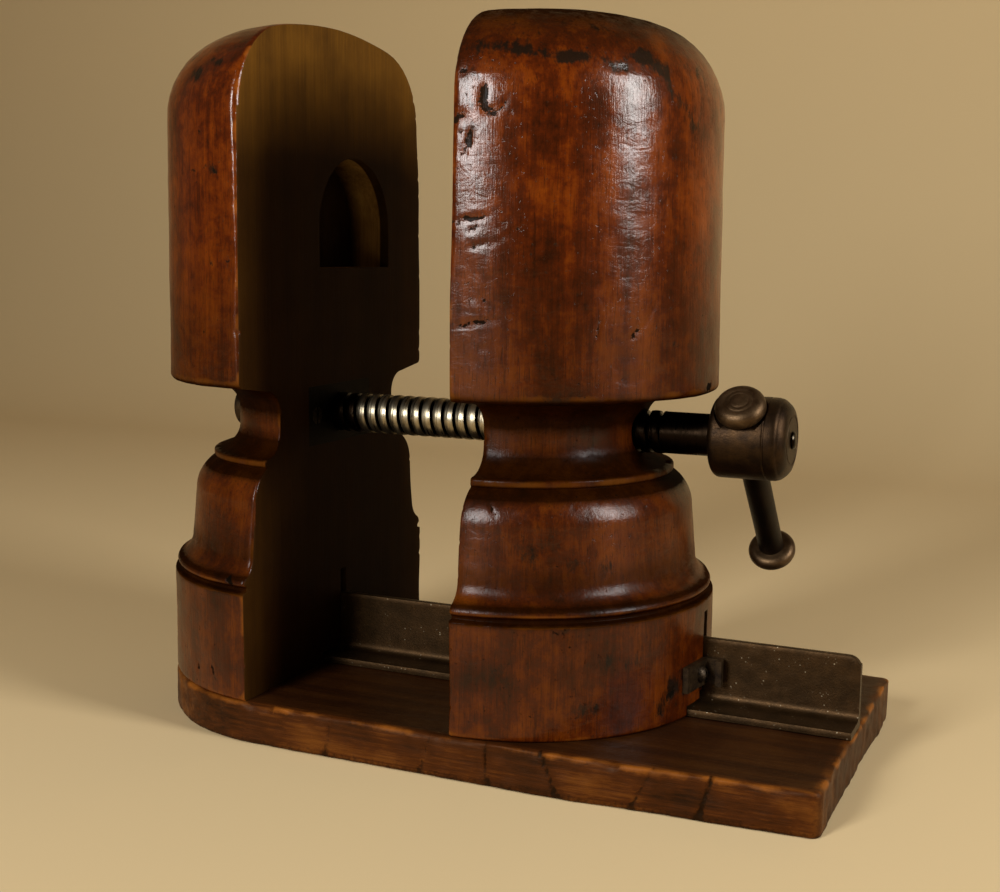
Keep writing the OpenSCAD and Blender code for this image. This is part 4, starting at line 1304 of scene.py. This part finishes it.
def board_shell(look):
    """The board as rings: its outline moved in and up round the lower edge, up the side, round the worn
    upper edge, and then in over the top to the board's middle line. Waves move the sides in and out, and
    cracks cut into the front."""
    outline = board_outline(BOARD_STEP)
    ahead = np.roll(outline, -1, axis=0) - np.roll(outline, 1, axis=0)
    outward = np.column_stack([ahead[:, 1], -ahead[:, 0]]) / np.linalg.norm(ahead, axis=1)[:, None]
    spine_x = np.clip(outline[:, 0], FIXED_AXIS, BOARD_HIGH[0] - BOARD_HALF)
    spine = np.column_stack([spine_x, np.zeros(len(outline))])
    mean = look.board_wear / MM
    worst = np.clip(0.35 + 0.6 * lumps(outline, 75, 47), 0, 1.2)
    chips = worst * np.clip(lumps(outline, 14, 41) - 0.5, 0, None)
    top_round = mean * (1 + 0.5 * lumps(outline, 40, 42)) + 1.8 * chips
    top_round = np.clip(top_round, BOARD_ROUND_LEAST, BOARD_ROUND_MOST)
    quarter = np.linspace(0, math.pi / 2, 5)[:, None]
    under = BOARD_UNDER_ARRIS
    side = np.linspace(0, 1, 9)[1:-1, None]
    inset = np.concatenate([
        under * (1 - np.sin(quarter)) * np.ones_like(top_round), np.zeros((len(side), len(outline))),
        top_round * (1 - np.cos(quarter)),
    ])
    level = np.concatenate([
        under * (1 - np.cos(quarter)) * np.ones_like(top_round),
        under + side * (BOARD_T - under - top_round),
        BOARD_T - top_round * (1 - np.sin(quarter)),
    ])
    edge = outline[None] - inset[..., None] * outward[None]
    solid = np.concatenate([edge, level[..., None]], axis=2)
    push = 0.22 * lumps(solid, 34, 43) + 0.10 * lumps(solid, 8, 44) - 0.15
    on_side = np.clip(level / 2, 0, 1) * (outward[:, 1] < -0.9)
    for crack_x, width, depth, lean in BOARD_CRACKS:
        off = outline[:, 0] - crack_x - lean * (level - BOARD_T / 2)
        push = push - on_side * depth * np.exp(-(off / width) ** 2)
    solid[..., :2] += push[..., None] * outward[None]
    inward = np.linspace(0, 1, BOARD_TOP_RINGS)[1:, None, None]
    rim = solid[-1]
    top = rim[None, :, :2] * (1 - inward) + spine[None] * inward
    top_level = BOARD_T - 0.12 * (1 + lumps(top, 40, 45)) * np.minimum(1, 4 * inward[..., 0])
    top = np.concatenate([top, top_level[..., None]], axis=2)
    shell = tube(np.concatenate([solid, top]))
    return shell._replace(caps=shell.caps[:1])


def countersink(x, y, top, direction, head_d, shank_d, depth):
    """Cutter for a countersunk screw: a short mouth, a cone and the shank's hole."""
    cone = (head_d - shank_d) / 2
    profile = [[-1, head_d / 2], [0, head_d / 2], [cone, shank_d / 2], [depth, shank_d / 2]]
    return lathe(profile, np.array([x, y, top]), direction * UPRIGHT, turns=32)


class HAT_STRETCHER_OT_board(bpy.types.Operator):
    """Make the base board"""

    bl_idname = "hat_stretcher.board"
    bl_label = "Board"

    def execute(self, context):
        look = context.scene.hat_wood
        mesh = make_mesh("base_board_plank", board_shell(look))
        mesh.materials.append(oiled_board(look))
        mesh.materials.append(raw_hardwood(look))
        sizes = (BOARD_SCREW_HEAD_D, BOARD_SCREW_SHANK_D, BOARD_T + 2)
        holes = [countersink(x, y, BOARD_SCREW_SINK, 1, *sizes) for x, y in BOARD_SCREWS]
        mesh = carve(mesh, holes, cut_slot=1)
        points = mesh_points(mesh)
        rough = lumps(points, 14, 46)
        to_top = BOARD_T - points[:, 2]
        front = points[:, 1] < -40
        side_y = np.interp(points[:, 0], [FIXED_AXIS, BOARD_HIGH[0] - BOARD_TAPER_LEN, BOARD_HIGH[0]],
                           [BOARD_HALF, BOARD_HALF, BOARD_END_HALF])
        round_x = np.minimum(points[:, 0] - FIXED_AXIS, 0)
        off_round = BOARD_HALF - np.hypot(round_x, points[:, 1])
        inside = np.where(round_x < 0, off_round, side_y - np.abs(points[:, 1]))
        inside = np.clip(np.minimum(inside, BOARD_HIGH[0] - points[:, 0]), 0, None)
        rim = np.exp(-(np.hypot(to_top, inside) / 2.0) ** 2)
        dirt_and_shade = np.zeros(len(points))
        for crack_x, width, depth, lean in BOARD_CRACKS:
            off = points[:, 0] - crack_x - lean * (points[:, 2] - BOARD_T / 2)
            dirt_and_shade += front * (inside < 3) * depth * np.exp(-(off / (1.3 * width)) ** 2)
        # The foot of the edge is drawn darker
        low = np.exp(-(points[:, 2] / 3.5) ** 2) * (inside < 3)
        set_attribute(mesh, "rubbed", np.clip(rim * (0.6 + 0.5 * rough), 0, 1))
        set_attribute(mesh, "dirt_and_shade", np.clip(dirt_and_shade + 0.55 * low, 0, 1.2))
        # Painted shade with wear: the top, and less so the end grain, are darker
        end_grain = np.clip((points[:, 0] - BOARD_HIGH[0] + 2.5) / 1.5, 0, 1)
        top = np.clip((inside - 1.5) / 3, 0, 1) * (to_top < 1.5)
        set_attribute(mesh, "handled", np.maximum(top, 0.6 * end_grain))
        place("base_board_plank", mesh, "frame", "board_wood", "base_board")
        return {"FINISHED"}


# Rail and clip


def rail_shell():
    """The rail's rounded L section carried along X. Near the tail its upright drops in a quarter circle,
    so the part of the section above the fillet is shortened to the height there."""
    foot_y = RAIL_LOW[1]
    corners = [[foot_y, 0], [RAIL_T, 0], [RAIL_T, RAIL_H], [0, RAIL_H], [0, RAIL_T], [foot_y, RAIL_T]]
    radii = [RAIL_UNDER_R, RAIL_UNDER_R, RAIL_EDGE_R, RAIL_EDGE_R, RAIL_FILLET, RAIL_EDGE_R]
    outline = rounded(corners, radii)
    outline = resample(np.concatenate([outline, outline[:1]]), RAIL_STEP)[:-1]
    tail = RAIL_HIGH[0]
    turn = np.linspace(0, math.pi / 2, 10)[1:-1]
    stations = np.concatenate([
        np.linspace(RAIL_LOW[0], tail - RAIL_CORNER_R, RAIL_STATIONS),
        tail - RAIL_CORNER_R + RAIL_CORNER_R * np.sin(turn),
        [tail],
    ])
    into = np.clip(stations - (tail - RAIL_CORNER_R), 0, RAIL_CORNER_R - 0.4)
    drop = RAIL_CORNER_R - np.sqrt(RAIL_CORNER_R ** 2 - into ** 2)
    bend = RAIL_T + RAIL_FILLET
    upright = np.clip((outline[:, 1] - bend) / (RAIL_H - bend), 0, 1)
    level = BOARD_T + outline[None, :, 1] - drop[:, None] * upright[None]
    across = np.broadcast_to(outline[None, :, 0], level.shape)
    along = np.broadcast_to(stations[:, None], level.shape)
    points = np.stack([along, across, level], axis=-1)
    open_face = np.clip((level - BOARD_T) / 1.5, 0, 1)
    dents = -0.05 * np.clip(lumps(points, 7, 51), 0, None) - 0.03 * (1 + lumps(points, 40, 52))
    heading = np.where(across < 0.4, -1.0, 0.0)
    points[..., 1] -= open_face * dents * heading
    return tube(points)


def strap_outline():
    """Plan of the clip: a bent centre line from the foot on the plinth, along the rail's web to the
    turned-out lip, with both its sides half a thickness away."""
    half = CLIP_T / 2
    reach = CLIP_FOOT / 2
    flat_x = CLIP_FLAT + half
    foot = turned_about(np.array([[flat_x, -reach, 0.0], [flat_x, reach - 2.0, 0.0]]), CLIP_TURN)
    arm_x = CLIP_HIGH[0] - half
    arm_y = CLIP_HIGH[1] - half
    lip_y = arm_y - half - CLIP_LIP
    knee = [OPENING + BLOCK_R + 0.1 + half, arm_y]
    corners = np.array([foot[0, :2], foot[1, :2], knee, [arm_x, arm_y], [arm_x, lip_y]])
    line = [corners[:1]]
    for before, corner, after in zip(corners[:-2], corners[1:-1], corners[2:]):
        start = corner + (before - corner) / np.linalg.norm(before - corner) * CLIP_BEND
        finish = corner + (after - corner) / np.linalg.norm(after - corner) * CLIP_BEND
        s = np.linspace(0, 1, 6)[:, None]
        line.append((1 - s) ** 2 * start + 2 * s * (1 - s) * corner + s ** 2 * finish)
    line = np.concatenate([*line, corners[-1:]])
    run = np.gradient(line, axis=0)
    side = np.column_stack([-run[:, 1], run[:, 0]]) / np.linalg.norm(run, axis=1)[:, None]
    return np.concatenate([line + half * side, (line - half * side)[::-1]])


class HAT_STRETCHER_OT_rail(bpy.types.Operator):
    """Make the angle-iron rail"""

    bl_idname = "hat_stretcher.rail"
    bl_label = "Rail"

    def execute(self, context):
        finish = browned_iron(context.scene.hat_iron)
        mesh = make_mesh("guide_rail_iron", rail_shell())
        mesh.materials.append(finish)
        foot_y = RAIL_LOW[1] / 2
        sizes = (RAIL_SCREW_HEAD_D, RAIL_SCREW_SHANK_D, RAIL_SCREW_DEPTH)
        holes = [countersink(x, foot_y, BOARD_T + RAIL_T, -1, *sizes) for x in RAIL_SCREW_X]
        mesh = carve(mesh, holes, cut_slot=0)
        rail = place("guide_rail_iron", mesh, "frame", "rail_iron", "guide_rail")
        soften(rail, width=0.5)
        return {"FINISHED"}


class HAT_STRETCHER_OT_clip(bpy.types.Operator):
    """Make the bent strap that holds the moving half to the rail"""

    bl_idname = "hat_stretcher.clip"
    bl_label = "Guide Clip"

    def execute(self, context):
        outline = strap_outline()
        levels = np.array([CLIP_LOW[2], CLIP_HIGH[2]])[:, None, None]
        flat = np.broadcast_to(outline, (2, *outline.shape))
        points = np.concatenate([flat, np.broadcast_to(levels, (2, len(outline), 1))], axis=2)
        mesh = make_mesh("guide_clip_strap", tube(points))
        mesh.materials.append(black_iron(context.scene.hat_iron))
        clip = place("guide_clip_strap", mesh, "slider", "black_iron", "guide_clip")
        soften(clip, width=0.45)
        return {"FINISHED"}


# Screw, boss and tommy bar


def thread_radius(phase):
    """Radius of the thread against its place in one pitch, from 0 to 1: a round-bottomed groove in the
    middle of the first part, then a slightly crowned crest."""
    groove = THREAD_GROOVE / THREAD_PITCH
    knots = groove * np.array([0, 0.10, 0.22, 0.36, 0.50, 0.64, 0.78, 0.90, 1.0])
    fall = np.array([0.10, 0.22, 0.80, 0.98, 1.0, 0.98, 0.80, 0.22, 0.10])
    crest = np.linspace(groove, 1, 8)[1:-1]
    crown = 0.10 - 0.10 * np.sin(math.pi * (crest - groove) / (1 - groove))
    places = np.concatenate([knots, crest, [1.0]])
    depths = np.concatenate([fall, crown, [0.10]])
    return THREAD_R - (THREAD_R - THREAD_ROOT_R) * np.interp(phase % 1.0, places, depths)


def thread_shell(turns=56, steps=20):
    """The thread as a grid whose rows wind up with the helix: a row at xi has the point
    x = xi + pitch * t / (2 pi) at the angle t, held between the thread's ends, and the radius there
    follows from how far x lies into its pitch. The end column meets the first one a pitch further on."""
    rows = np.arange(THREAD_START - THREAD_PITCH, THREAD_END + 1e-6, THREAD_PITCH / steps)
    t = np.linspace(0, 2 * math.pi, turns + 1)
    lead = THREAD_PITCH * t / (2 * math.pi)
    x = np.clip(rows[:, None] + lead, THREAD_START, THREAD_END)
    radius = thread_radius((x - lead - THREAD_START) / THREAD_PITCH)
    points = np.stack([x, radius * np.cos(t), SCREW_Z + radius * np.sin(t)], axis=-1)
    row = np.arange(len(rows) - 1)[:, None]
    column = np.arange(turns)[None, :]
    first = row * (turns + 1) + column
    quads = np.stack([first, first + 1, first + turns + 2, first + turns + 1], axis=-1).reshape(-1, 4)
    return Shell(points.reshape(-1, 3), quads, ())


def spindle_shells():
    """The plain parts of the screw: tail, shoulder, shank with a worn end, and the pip."""
    tail = SPINDLE_LOW[0]
    end = BOSS_HIGH[0]
    tail_rod = [[tail, CORE_R], [tail, TAIL_R - 0.6], [tail + 0.6, TAIL_R], [SHOULDER_X + 1, TAIL_R],
                [SHOULDER_X + 1, CORE_R]]
    shoulder = [[SHOULDER_X, CORE_R], [SHOULDER_X, THREAD_R - 0.3], [SHOULDER_X + 0.3, THREAD_R],
                [THREAD_START - 0.1, THREAD_R], [THREAD_START + 0.4, THREAD_R - 0.5],
                [THREAD_START + 0.4, CORE_R]]
    shank = [[THREAD_END - 0.6, CORE_R], [THREAD_END - 0.6, SHANK_R - 0.6], [THREAD_END, SHANK_R],
             [end - 1, SHANK_R], [end - 1, CORE_R]]
    tip = SPINDLE_HIGH[0]
    pip = [[end - 2, CORE_R], [end - 2, PIP_R], [tip - 0.8, PIP_R], [tip - 0.3, PIP_R - 0.4],
           [tip, PIP_R - 1.4], [tip, CORE_R]]
    return [lathe(profile, SCREW_ORIGIN, SCREW_AXIS) for profile in (tail_rod, shoulder, shank, pip)]


def close_ends(mesh):
    """Caps the open ends of a mesh and turns its faces outward."""
    work = bmesh.new()
    work.from_mesh(mesh)
    bmesh.ops.remove_doubles(work, verts=work.verts, dist=0.01 * MM)
    bmesh.ops.holes_fill(work, edges=[e for e in work.edges if e.is_boundary], sides=0)
    bmesh.ops.recalc_face_normals(work, faces=work.faces)
    work.to_mesh(mesh)
    work.free()


class HAT_STRETCHER_OT_spindle(bpy.types.Operator):
    """Make the threaded spindle"""

    bl_idname = "hat_stretcher.spindle"
    bl_label = "Spindle"

    def execute(self, context):
        mesh = make_mesh("spindle_screw", joined(thread_shell(), *spindle_shells()))
        close_ends(mesh)
        points = mesh_points(mesh)
        radius = np.hypot(points[:, 1], points[:, 2] - SCREW_Z)
        crest = np.clip((radius - THREAD_ROOT_R) / (THREAD_R - THREAD_ROOT_R), 0, 1)
        plain = (points[:, 0] > THREAD_END - 0.5) | (points[:, 0] < SHOULDER_X)
        # Painted shade: the crests darken near the moving half and near the fixed half
        crest_shade = np.clip((THREAD_SHADE_X - points[:, 0]) / THREAD_SHADE_LEN, 0.3, 1)
        crest_shade = crest_shade * np.clip(points[:, 0] / THREAD_SHADE_LEN, 0.45, 1)
        crest = np.where(plain, 0.3, crest * crest_shade)
        set_attribute(mesh, "crest", np.where(points[:, 0] > BOSS_HIGH[0], 0.58, crest))
        mesh.materials.append(thread_steel(context.scene.hat_iron))
        place("spindle_screw", mesh, "screw", "thread_steel", "spindle")
        return {"FINISHED"}


class HAT_STRETCHER_OT_boss(bpy.types.Operator):
    """Make the turned boss on the end of the spindle"""

    bl_idname = "hat_stretcher.boss"
    bl_label = "Boss"

    def execute(self, context):
        start = BOSS_LOW[0]
        end = BOSS_HIGH[0]
        a = np.linspace(0, math.pi / 2, 8)
        inner = np.column_stack([start + BOSS_ROUND - BOSS_ROUND * np.cos(a),
                                 BOSS_R - BOSS_ROUND + BOSS_ROUND * np.sin(a)])
        turned = np.array([end, BOSS_R]) - np.array(BOSS_TURNING)
        outer = np.concatenate([turned, [[end, PIP_R + 0.3], [end - 0.2, PIP_R + 0.1]]])
        core = [[end - 1.0, PIP_R - 0.3], [start, PIP_R - 0.3]]
        profile = np.concatenate([inner, outer, core])
        shell = lathe(profile, SCREW_ORIGIN, SCREW_AXIS, turns=96, closed=True)
        mesh = make_mesh("spindle_boss_turned", shell)
        mesh.materials.append(handled_iron(context.scene.hat_iron))
        flat = NEAR_FACE - 0.1
        room = [[-30, BAR_R + 0.12], [flat, BAR_R + 0.12], [flat, SEAT_R], [30, SEAT_R]]
        hole = lathe(room, BAR_CENTRE, BAR_AXIS, turns=64)
        mesh = carve(mesh, [hole], cut_slot=0)
        boss = place("spindle_boss_turned", mesh, "screw", "handle_iron", "spindle_boss")
        soften(boss, width=0.5)
        return {"FINISHED"}


def knob_profile():
    """Half section of a knob from its inner face: a fat button with a round lower and a round upper edge,
    and a nearly flat top that carries a turned ring and the bar's riveted end, a little proud."""
    lower_r = 2.9
    upper_r = 3.6
    a = np.linspace(-math.pi / 2, 0, 8)
    lower = np.column_stack([lower_r + lower_r * np.sin(a), KNOB_R - lower_r + lower_r * np.cos(a)])
    b = np.linspace(0, math.radians(82), 9)
    shoulder = KNOB_H - 0.5 - upper_r
    upper = np.column_stack([shoulder + upper_r * np.sin(b), KNOB_R - upper_r + upper_r * np.cos(b)])
    peak = upper[-1, 0]
    ring = np.array(KNOB_RING) + (peak, 0)
    rivet = [[peak + 0.2, RIVET_R + 0.4], [peak + 0.08, RIVET_R + 0.2], [peak + 0.1, RIVET_R],
             [peak + 0.3, RIVET_R - 0.3], [KNOB_H, 1.4], [KNOB_H, CORE_R]]
    return np.concatenate([[[0, CORE_R]], lower, upper, ring, rivet])


class HAT_STRETCHER_OT_tommy_bar(bpy.types.Operator):
    """Make the sliding tommy bar and its two knobs"""

    bl_idname = "hat_stretcher.tommy_bar"
    bl_label = "Tommy Bar"

    def execute(self, context):
        look = context.scene.hat_iron
        knob_finish = polished_iron(look)
        line = np.linspace(-FAR_FACE - 0.5, NEAR_FACE + 0.5, 40)
        waist = BAR_R - 0.05 * (1 + np.cos(line / 9))
        rod = np.column_stack([line, waist])
        rod = np.concatenate([[[line[0], CORE_R]], rod, [[line[-1], CORE_R]]])
        near = BAR_CENTRE + NEAR_FACE * BAR_AXIS
        far = BAR_CENTRE - FAR_FACE * BAR_AXIS
        shells = (
            ("tommy_bar_rod", lathe(rod, BAR_CENTRE, BAR_AXIS, turns=64), bar_iron(look), "tommy_bar"),
            ("near_knob_button", lathe(knob_profile(), near, BAR_AXIS), knob_finish, "near_knob"),
            ("far_knob_button", lathe(knob_profile(), far, -BAR_AXIS), knob_finish, "far_knob"),
        )
        for name, shell, finish, node in shells:
            mesh = make_mesh(name, shell)
            mesh.materials.append(finish)
            place(name, mesh, "handle", "handle_iron", node)
        return {"FINISHED"}


class HAT_STRETCHER_OT_bearing(bpy.types.Operator):
    """Make the washer and the collar that hold the spindle's tail"""

    bl_idname = "hat_stretcher.bearing"
    bl_label = "Tail Bearing"

    def execute(self, context):
        finish = black_iron(context.scene.hat_iron)
        rings = (
            ("tail_washer_ring", WASHER_LOW, WASHER_HIGH, 0.4, "frame", "tail_washer"),
            ("tail_collar_ring", COLLAR_LOW, COLLAR_HIGH, 1.0, "screw", "tail_collar"),
        )
        for name, low, high, edge, body, node in rings:
            outer = high[1]
            inner = TAIL_R + 0.03
            corners = [[low[0], inner], [low[0], outer], [high[0], outer], [high[0], inner]]
            profile = rounded(corners, [0.3, edge, edge, 0.3], steps=4)
            mesh = make_mesh(name, lathe(profile, SCREW_ORIGIN, SCREW_AXIS, closed=True))
            mesh.materials.append(finish)
            place(name, mesh, body, "black_iron", node)
        return {"FINISHED"}


class HAT_STRETCHER_OT_fittings(bpy.types.Operator):
    """Finish the plates, the nut, the pin and all screws"""

    bl_idname = "hat_stretcher.fittings"
    bl_label = "Plates and Screws"

    def execute(self, context):
        look = context.scene.hat_iron
        finishes = {
            shaded_plate_iron(look): ("thrust_plate", "spindle_nut"),
            screw_steel(look): (
                "half_screws", "rail_screws", "thrust_plate_screws",
                "nut_screws", "clip_screw", "collar_pin",
            ),
        }
        for finish, nodes in finishes.items():
            for node in nodes:
                for material_slot in frame["nodes"][node].material_slots:
                    material_slot.material = finish
        return {"FINISHED"}


# Stage


def aim(obj, place_mm, yaw, pitch, roll):
    """Sets an object at a place in millimetres, looking along a level bearing yaw degrees left of +Y and
    pitch degrees down, with a small roll."""
    obj.location = np.asarray(place_mm, float) * MM
    obj.rotation_mode = "XYZ"
    tilt = Matrix.Rotation(math.radians(yaw), 4, "Z") @ Matrix.Rotation(math.radians(90 - pitch), 4, "X")
    tilt = tilt @ Matrix.Rotation(math.radians(roll), 4, "Z")
    obj.rotation_euler = tilt.to_euler()


def soft_box(name, bearing, distance, low, high, width, power):
    """A rectangular lamp that faces the object, at a bearing from the front in degrees towards +X. Its
    distance, height and width are metres."""
    lamp = bpy.data.lights.new(name, "AREA")
    lamp.shape = "RECTANGLE"
    lamp.size = width
    lamp.size_y = high - low
    lamp.energy = power
    holder = bpy.data.objects.new(name, lamp)
    bpy.context.scene.collection.objects.link(holder)
    turn = math.radians(bearing)
    middle = (low + high) / 2
    centre = np.array([OPENING / 2, 0.0, 0.0])
    spot = centre + np.array([math.sin(turn) * distance, -math.cos(turn) * distance, middle]) / MM
    down = math.degrees(math.atan2(middle - LAMP_AIM_Z, distance))
    aim(holder, spot, bearing, down, 0)


class HAT_STRETCHER_OT_stage(bpy.types.Operator):
    """Make the sweep, the lamps and the camera"""

    bl_idname = "hat_stretcher.stage"
    bl_label = "Stage"

    def execute(self, context):
        look = context.scene.hat_stage
        scene = context.scene
        a = np.linspace(0, math.pi / 2, 24)
        curve = np.column_stack([SWEEP_BACK + SWEEP_BEND * np.sin(a), SWEEP_BEND - SWEEP_BEND * np.cos(a)])
        wall = [[SWEEP_BACK + SWEEP_BEND, SWEEP_TOP]]
        profile = np.concatenate([[[SWEEP_FRONT, 0.0]], curve, wall])
        across = np.array([-SWEEP_HALF, SWEEP_HALF])
        shape = (len(profile), 2)
        points = np.stack([
            np.broadcast_to(across[None, :], shape),
            np.broadcast_to(profile[:, :1], shape),
            np.broadcast_to(profile[:, 1:], shape),
        ], axis=-1)
        row = np.arange(len(profile) - 1) * 2
        quads = np.stack([row, row + 1, row + 3, row + 2], axis=-1)
        mesh = bpy.data.meshes.new("sweep")
        mesh.from_pydata((points.reshape(-1, 3) * MM).tolist(), [], quads.tolist())
        mesh.shade_smooth()
        mesh.materials.append(pale_sweep(look))
        sweep = bpy.data.objects.new("sweep", mesh)
        scene.collection.objects.link(sweep)
        soft_box("right soft box", bearing=82, distance=1.2, low=0.33, high=0.95, width=0.29,
                 power=look.key_power)
        soft_box("left soft box", bearing=-12, distance=1.3, low=0.31, high=0.95, width=0.32,
                 power=look.fill_power)
        world = bpy.data.worlds.new("room light")
        world.use_nodes = True
        glow = world.node_tree.nodes["Background"]
        fill(world.node_tree, glow, {"Color": linear(ROOM_LIGHT), "Strength": look.world})
        scene.world = world
        scene.view_settings.view_transform = "Standard"
        lens = bpy.data.cameras.new("photo camera")
        lens.sensor_width = CAMERA_SENSOR
        lens.lens = CAMERA_LENS
        camera = bpy.data.objects.new("photo camera", lens)
        scene.collection.objects.link(camera)
        aim(camera, CAMERA_PLACE, CAMERA_YAW, CAMERA_PITCH, CAMERA_ROLL)
        scene.camera = camera
        return {"FINISHED"}


class HAT_STRETCHER_PT_panel(bpy.types.Panel):
    """Lists the pieces and their settings"""

    bl_idname = "HAT_STRETCHER_PT_panel"
    bl_label = "Hat Stretcher"
    bl_space_type = "VIEW_3D"
    bl_region_type = "UI"
    bl_category = "Hat Stretcher"

    def draw(self, context):
        for operator in OPERATORS:
            self.layout.operator(operator.bl_idname)
        for group in GROUPS:
            settings = getattr(context.scene, group)
            for name in settings.__annotations__:
                self.layout.prop(settings, name)


GROUPS = {"hat_wood": HatWoodLook, "hat_iron": HatIronLook, "hat_stage": HatStageLook}
OPERATORS = (
    HAT_STRETCHER_OT_stage,
    HAT_STRETCHER_OT_turned_halves,
    HAT_STRETCHER_OT_board,
    HAT_STRETCHER_OT_rail,
    HAT_STRETCHER_OT_clip,
    HAT_STRETCHER_OT_spindle,
    HAT_STRETCHER_OT_boss,
    HAT_STRETCHER_OT_tommy_bar,
    HAT_STRETCHER_OT_bearing,
    HAT_STRETCHER_OT_fittings,
)


def register():
    """Registers the classes and hangs the settings on the scene."""
    for group in (*GROUPS.values(), *OPERATORS, HAT_STRETCHER_PT_panel):
        bpy.utils.register_class(group)
    for name, group in GROUPS.items():
        setattr(bpy.types.Scene, name, bpy.props.PointerProperty(type=group))


def unregister():
    """Takes the settings and the classes away again."""
    for name in GROUPS:
        delattr(bpy.types.Scene, name)
    for group in (HAT_STRETCHER_PT_panel, *reversed(OPERATORS), *GROUPS.values()):
        bpy.utils.unregister_class(group)


def main():
    register()
    for operator in OPERATORS:
        category, name = operator.bl_idname.split(".")
        getattr(getattr(bpy.ops, category), name)()


if __name__ == "__main__":
    main()
